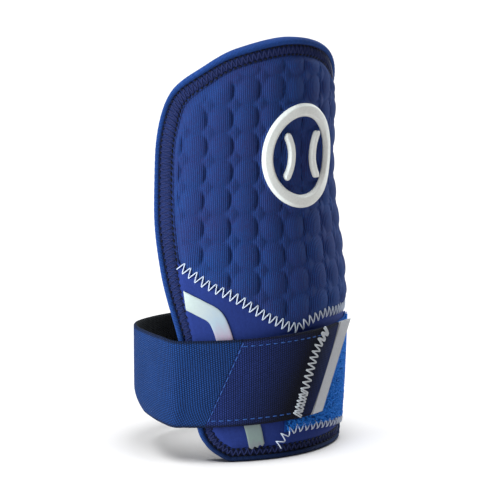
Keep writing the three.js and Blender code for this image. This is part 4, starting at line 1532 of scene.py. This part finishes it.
# %% Loop patch
PATCH_GRID = (60, 40)
PATCH_CLOTH = {"long": 46, "wide": 40.0, "thick": 0.9, "lift": 0.3}
# arc, height
PATCH_LOW = np.array([(-8, 10.2), (3, 11.4), (20, 10.6), (46, 8.4)])
PATCH = {"left": -7.5, "right_low": 32.5, "right_high": 42.5, "under_strap": 1.0}
LOOP = {"seed": 11, "count": 6400, "margin": 0.01, "span": 0.75, "lift": 0.6, "radius": 0.17, "rise": 0.75}
LOOP_CLEARANCE = {"label": 1.5, "strap_share": 0.02}


def patch_place(u, v):
    """Pattern place at shares across and up the patch."""
    arc = mix(PATCH["left"], mix(PATCH["right_low"], PATCH["right_high"], v), u)
    high = strap_height(arc, 1) - PATCH["under_strap"]
    return arc, mix(np.interp(arc, PATCH_LOW[:, 0], PATCH_LOW[:, 1]), high, v)


def patch_mesh():
    """Band over the whole field, with its steps closer together at both ends too."""
    steps, across = PATCH_GRID
    shares = edge_shares(across)
    arc, height = patch_place(edge_shares(steps)[:, None], shares[None])
    middle = wrap(arc, height, PATCH_CLOTH["lift"])
    normal = unit(wrap(arc, height, PATCH_CLOTH["lift"] + 1) - middle)
    run = np.linspace(0, PATCH_CLOTH["long"], steps)
    return band_mesh("loop_patch", middle, normal, shares, PATCH_CLOTH["wide"], PATCH_CLOTH["thick"], run)


def pile_mesh():
    """Loops at random places that the strap and the label leave bare, each turned a random way."""
    rng = np.random.default_rng(LOOP["seed"])
    arc, height = patch_place(*rng.uniform(LOOP["margin"], 1 - LOOP["margin"], (2, LOOP["count"])))
    share = (height - strap_height(arc, 0)) / STRAP_WIDTH
    past_tip = arc > mix(STRAP_TIP["low"], STRAP_TIP["high"], share) + LOOP_CLEARANCE["label"]
    below = share < -LOOP_CLEARANCE["strap_share"]
    above = share > 1 + LOOP_CLEARANCE["strap_share"]
    start = np.stack([arc, height], -1)[past_tip | below | above]
    turn = rng.uniform(0, 2 * np.pi, len(start))
    end = start + LOOP["span"] * np.stack([np.cos(turn), np.sin(turn)], -1)
    return stitches_mesh(
        "pile_loops", start, end, LOOP["lift"], LOOP["radius"], LOOP["rise"], sides=4, steps=5)


add_piece("loop_patch_ground", patch_mesh(), PILE, "loop_patch")
PILE_THREAD = thread("pile_thread", (14, 66, 150), (36, 128, 222), roughness=0.8)
add_piece("loop_patch_pile", pile_mesh(), PILE_THREAD)

# %% [markdown]
# White rubber
#
# The raised sign is moulded rubber: nearly white, half matt, with a faint grain and slightly greyer patches.
# Both come from the mottle on object coordinates, so the grain runs on from stroke to stroke.

# %% Rubber finish
RUBBER_MOTTLE = {"Broad": 90.0, "Fine": 1500.0}
RUBBER_GRAIN = 0.04
RUBBER_ROUGHNESS = 0.5
RUBBER_LIGHT = (206, 206, 202)
RUBBER_DARK = (190, 190, 187)


def rubber(name):
    """White moulded rubber: the mottle mixes two close greys and raises a faint grain."""
    material, tree, shader = new_finish(name)
    shade = put_group(tree, MOTTLE, object_place(tree), **RUBBER_MOTTLE)
    colour = colour_mix(tree, shade, tint(*RUBBER_LIGHT), tint(*RUBBER_DARK))
    tree.links.new(colour, shader.inputs["Base Color"])
    raise_by(tree, shader, shade, RUBBER_GRAIN)
    shader.inputs["Roughness"].default_value = RUBBER_ROUGHNESS
    return material


WHITE_RUBBER = rubber("white_rubber")
print("rubber:", WHITE_RUBBER.name)

# %% [markdown]
# The raised sign
#
# A plain ball stands on the quilted cover: a ring and two seam lines. A torus would stay flat, so one
# bevelled section is carried along each circle on the pattern and bends with the shield. The seam lines are
# arcs of circles beside the ring, and they close in round tips because their width follows a quarter circle
# there.

# %% Raised sign
RING_TURNS = 240
SEAM_TURNS = 70
# share of half the stroke, lift
STROKE_SECTION = np.array([
    (-1.0, 0.75), (-1.0, 1.35), (-0.97, 1.5), (-0.66, 2.45), (-0.56, 2.58), (-0.4, 2.6), (0.4, 2.6),
    (0.56, 2.58), (0.66, 2.45), (0.97, 1.5), (1.0, 1.35), (1.0, 0.75),
])


def stroke_mesh(name, centre_arc, form, angles, taper, closed):
    """Section carried along a circle on the pattern; the taper narrows it towards the tips."""
    across = form["radius"] + STROKE_SECTION[:, 0] * form["stroke"] / 2 * taper[:, None]
    arc = centre_arc + across * np.cos(angles)[:, None]
    height = EMBLEM["height"] + across * np.sin(angles)[:, None]
    points = wrap(arc, height, STROKE_SECTION[:, 1])
    chart = np.stack([arc, height], -1) * MM
    chart = np.concatenate([chart, chart[:, :1]], 1)
    chart = np.concatenate([chart, chart[:1]]) if closed else chart
    return grid_mesh(name, points, chart, close_rows=closed, close_columns=True)


turns = np.linspace(0, 2 * np.pi, RING_TURNS, endpoint=False)
ring_rubber = stroke_mesh("emblem_ring", EMBLEM["arc"], EMBLEM, turns, np.ones(RING_TURNS), True)
add_piece("emblem_ring_rubber", ring_rubber, WHITE_RUBBER, "emblem_ring")

sweep = np.sin(np.linspace(-np.pi / 2, np.pi / 2, SEAM_TURNS))
blunt = 1 - BALL_SEAM["stroke"] / 2 / (BALL_SEAM["radius"] * BALL_SEAM["half_angle"])
tip = np.sqrt(np.maximum(0, 1 - (np.maximum(0, np.abs(sweep) - blunt) / (1 - blunt)) ** 2))
for side, facing, node in ((-1, 0, "emblem_seam_left"), (1, np.pi, "emblem_seam_right")):
    centre = EMBLEM["arc"] + side * BALL_SEAM["offset"]
    seam_rubber = stroke_mesh(node, centre, BALL_SEAM, facing + BALL_SEAM["half_angle"] * sweep, tip, False)
    add_piece(node + "_rubber", seam_rubber, WHITE_RUBBER, node)
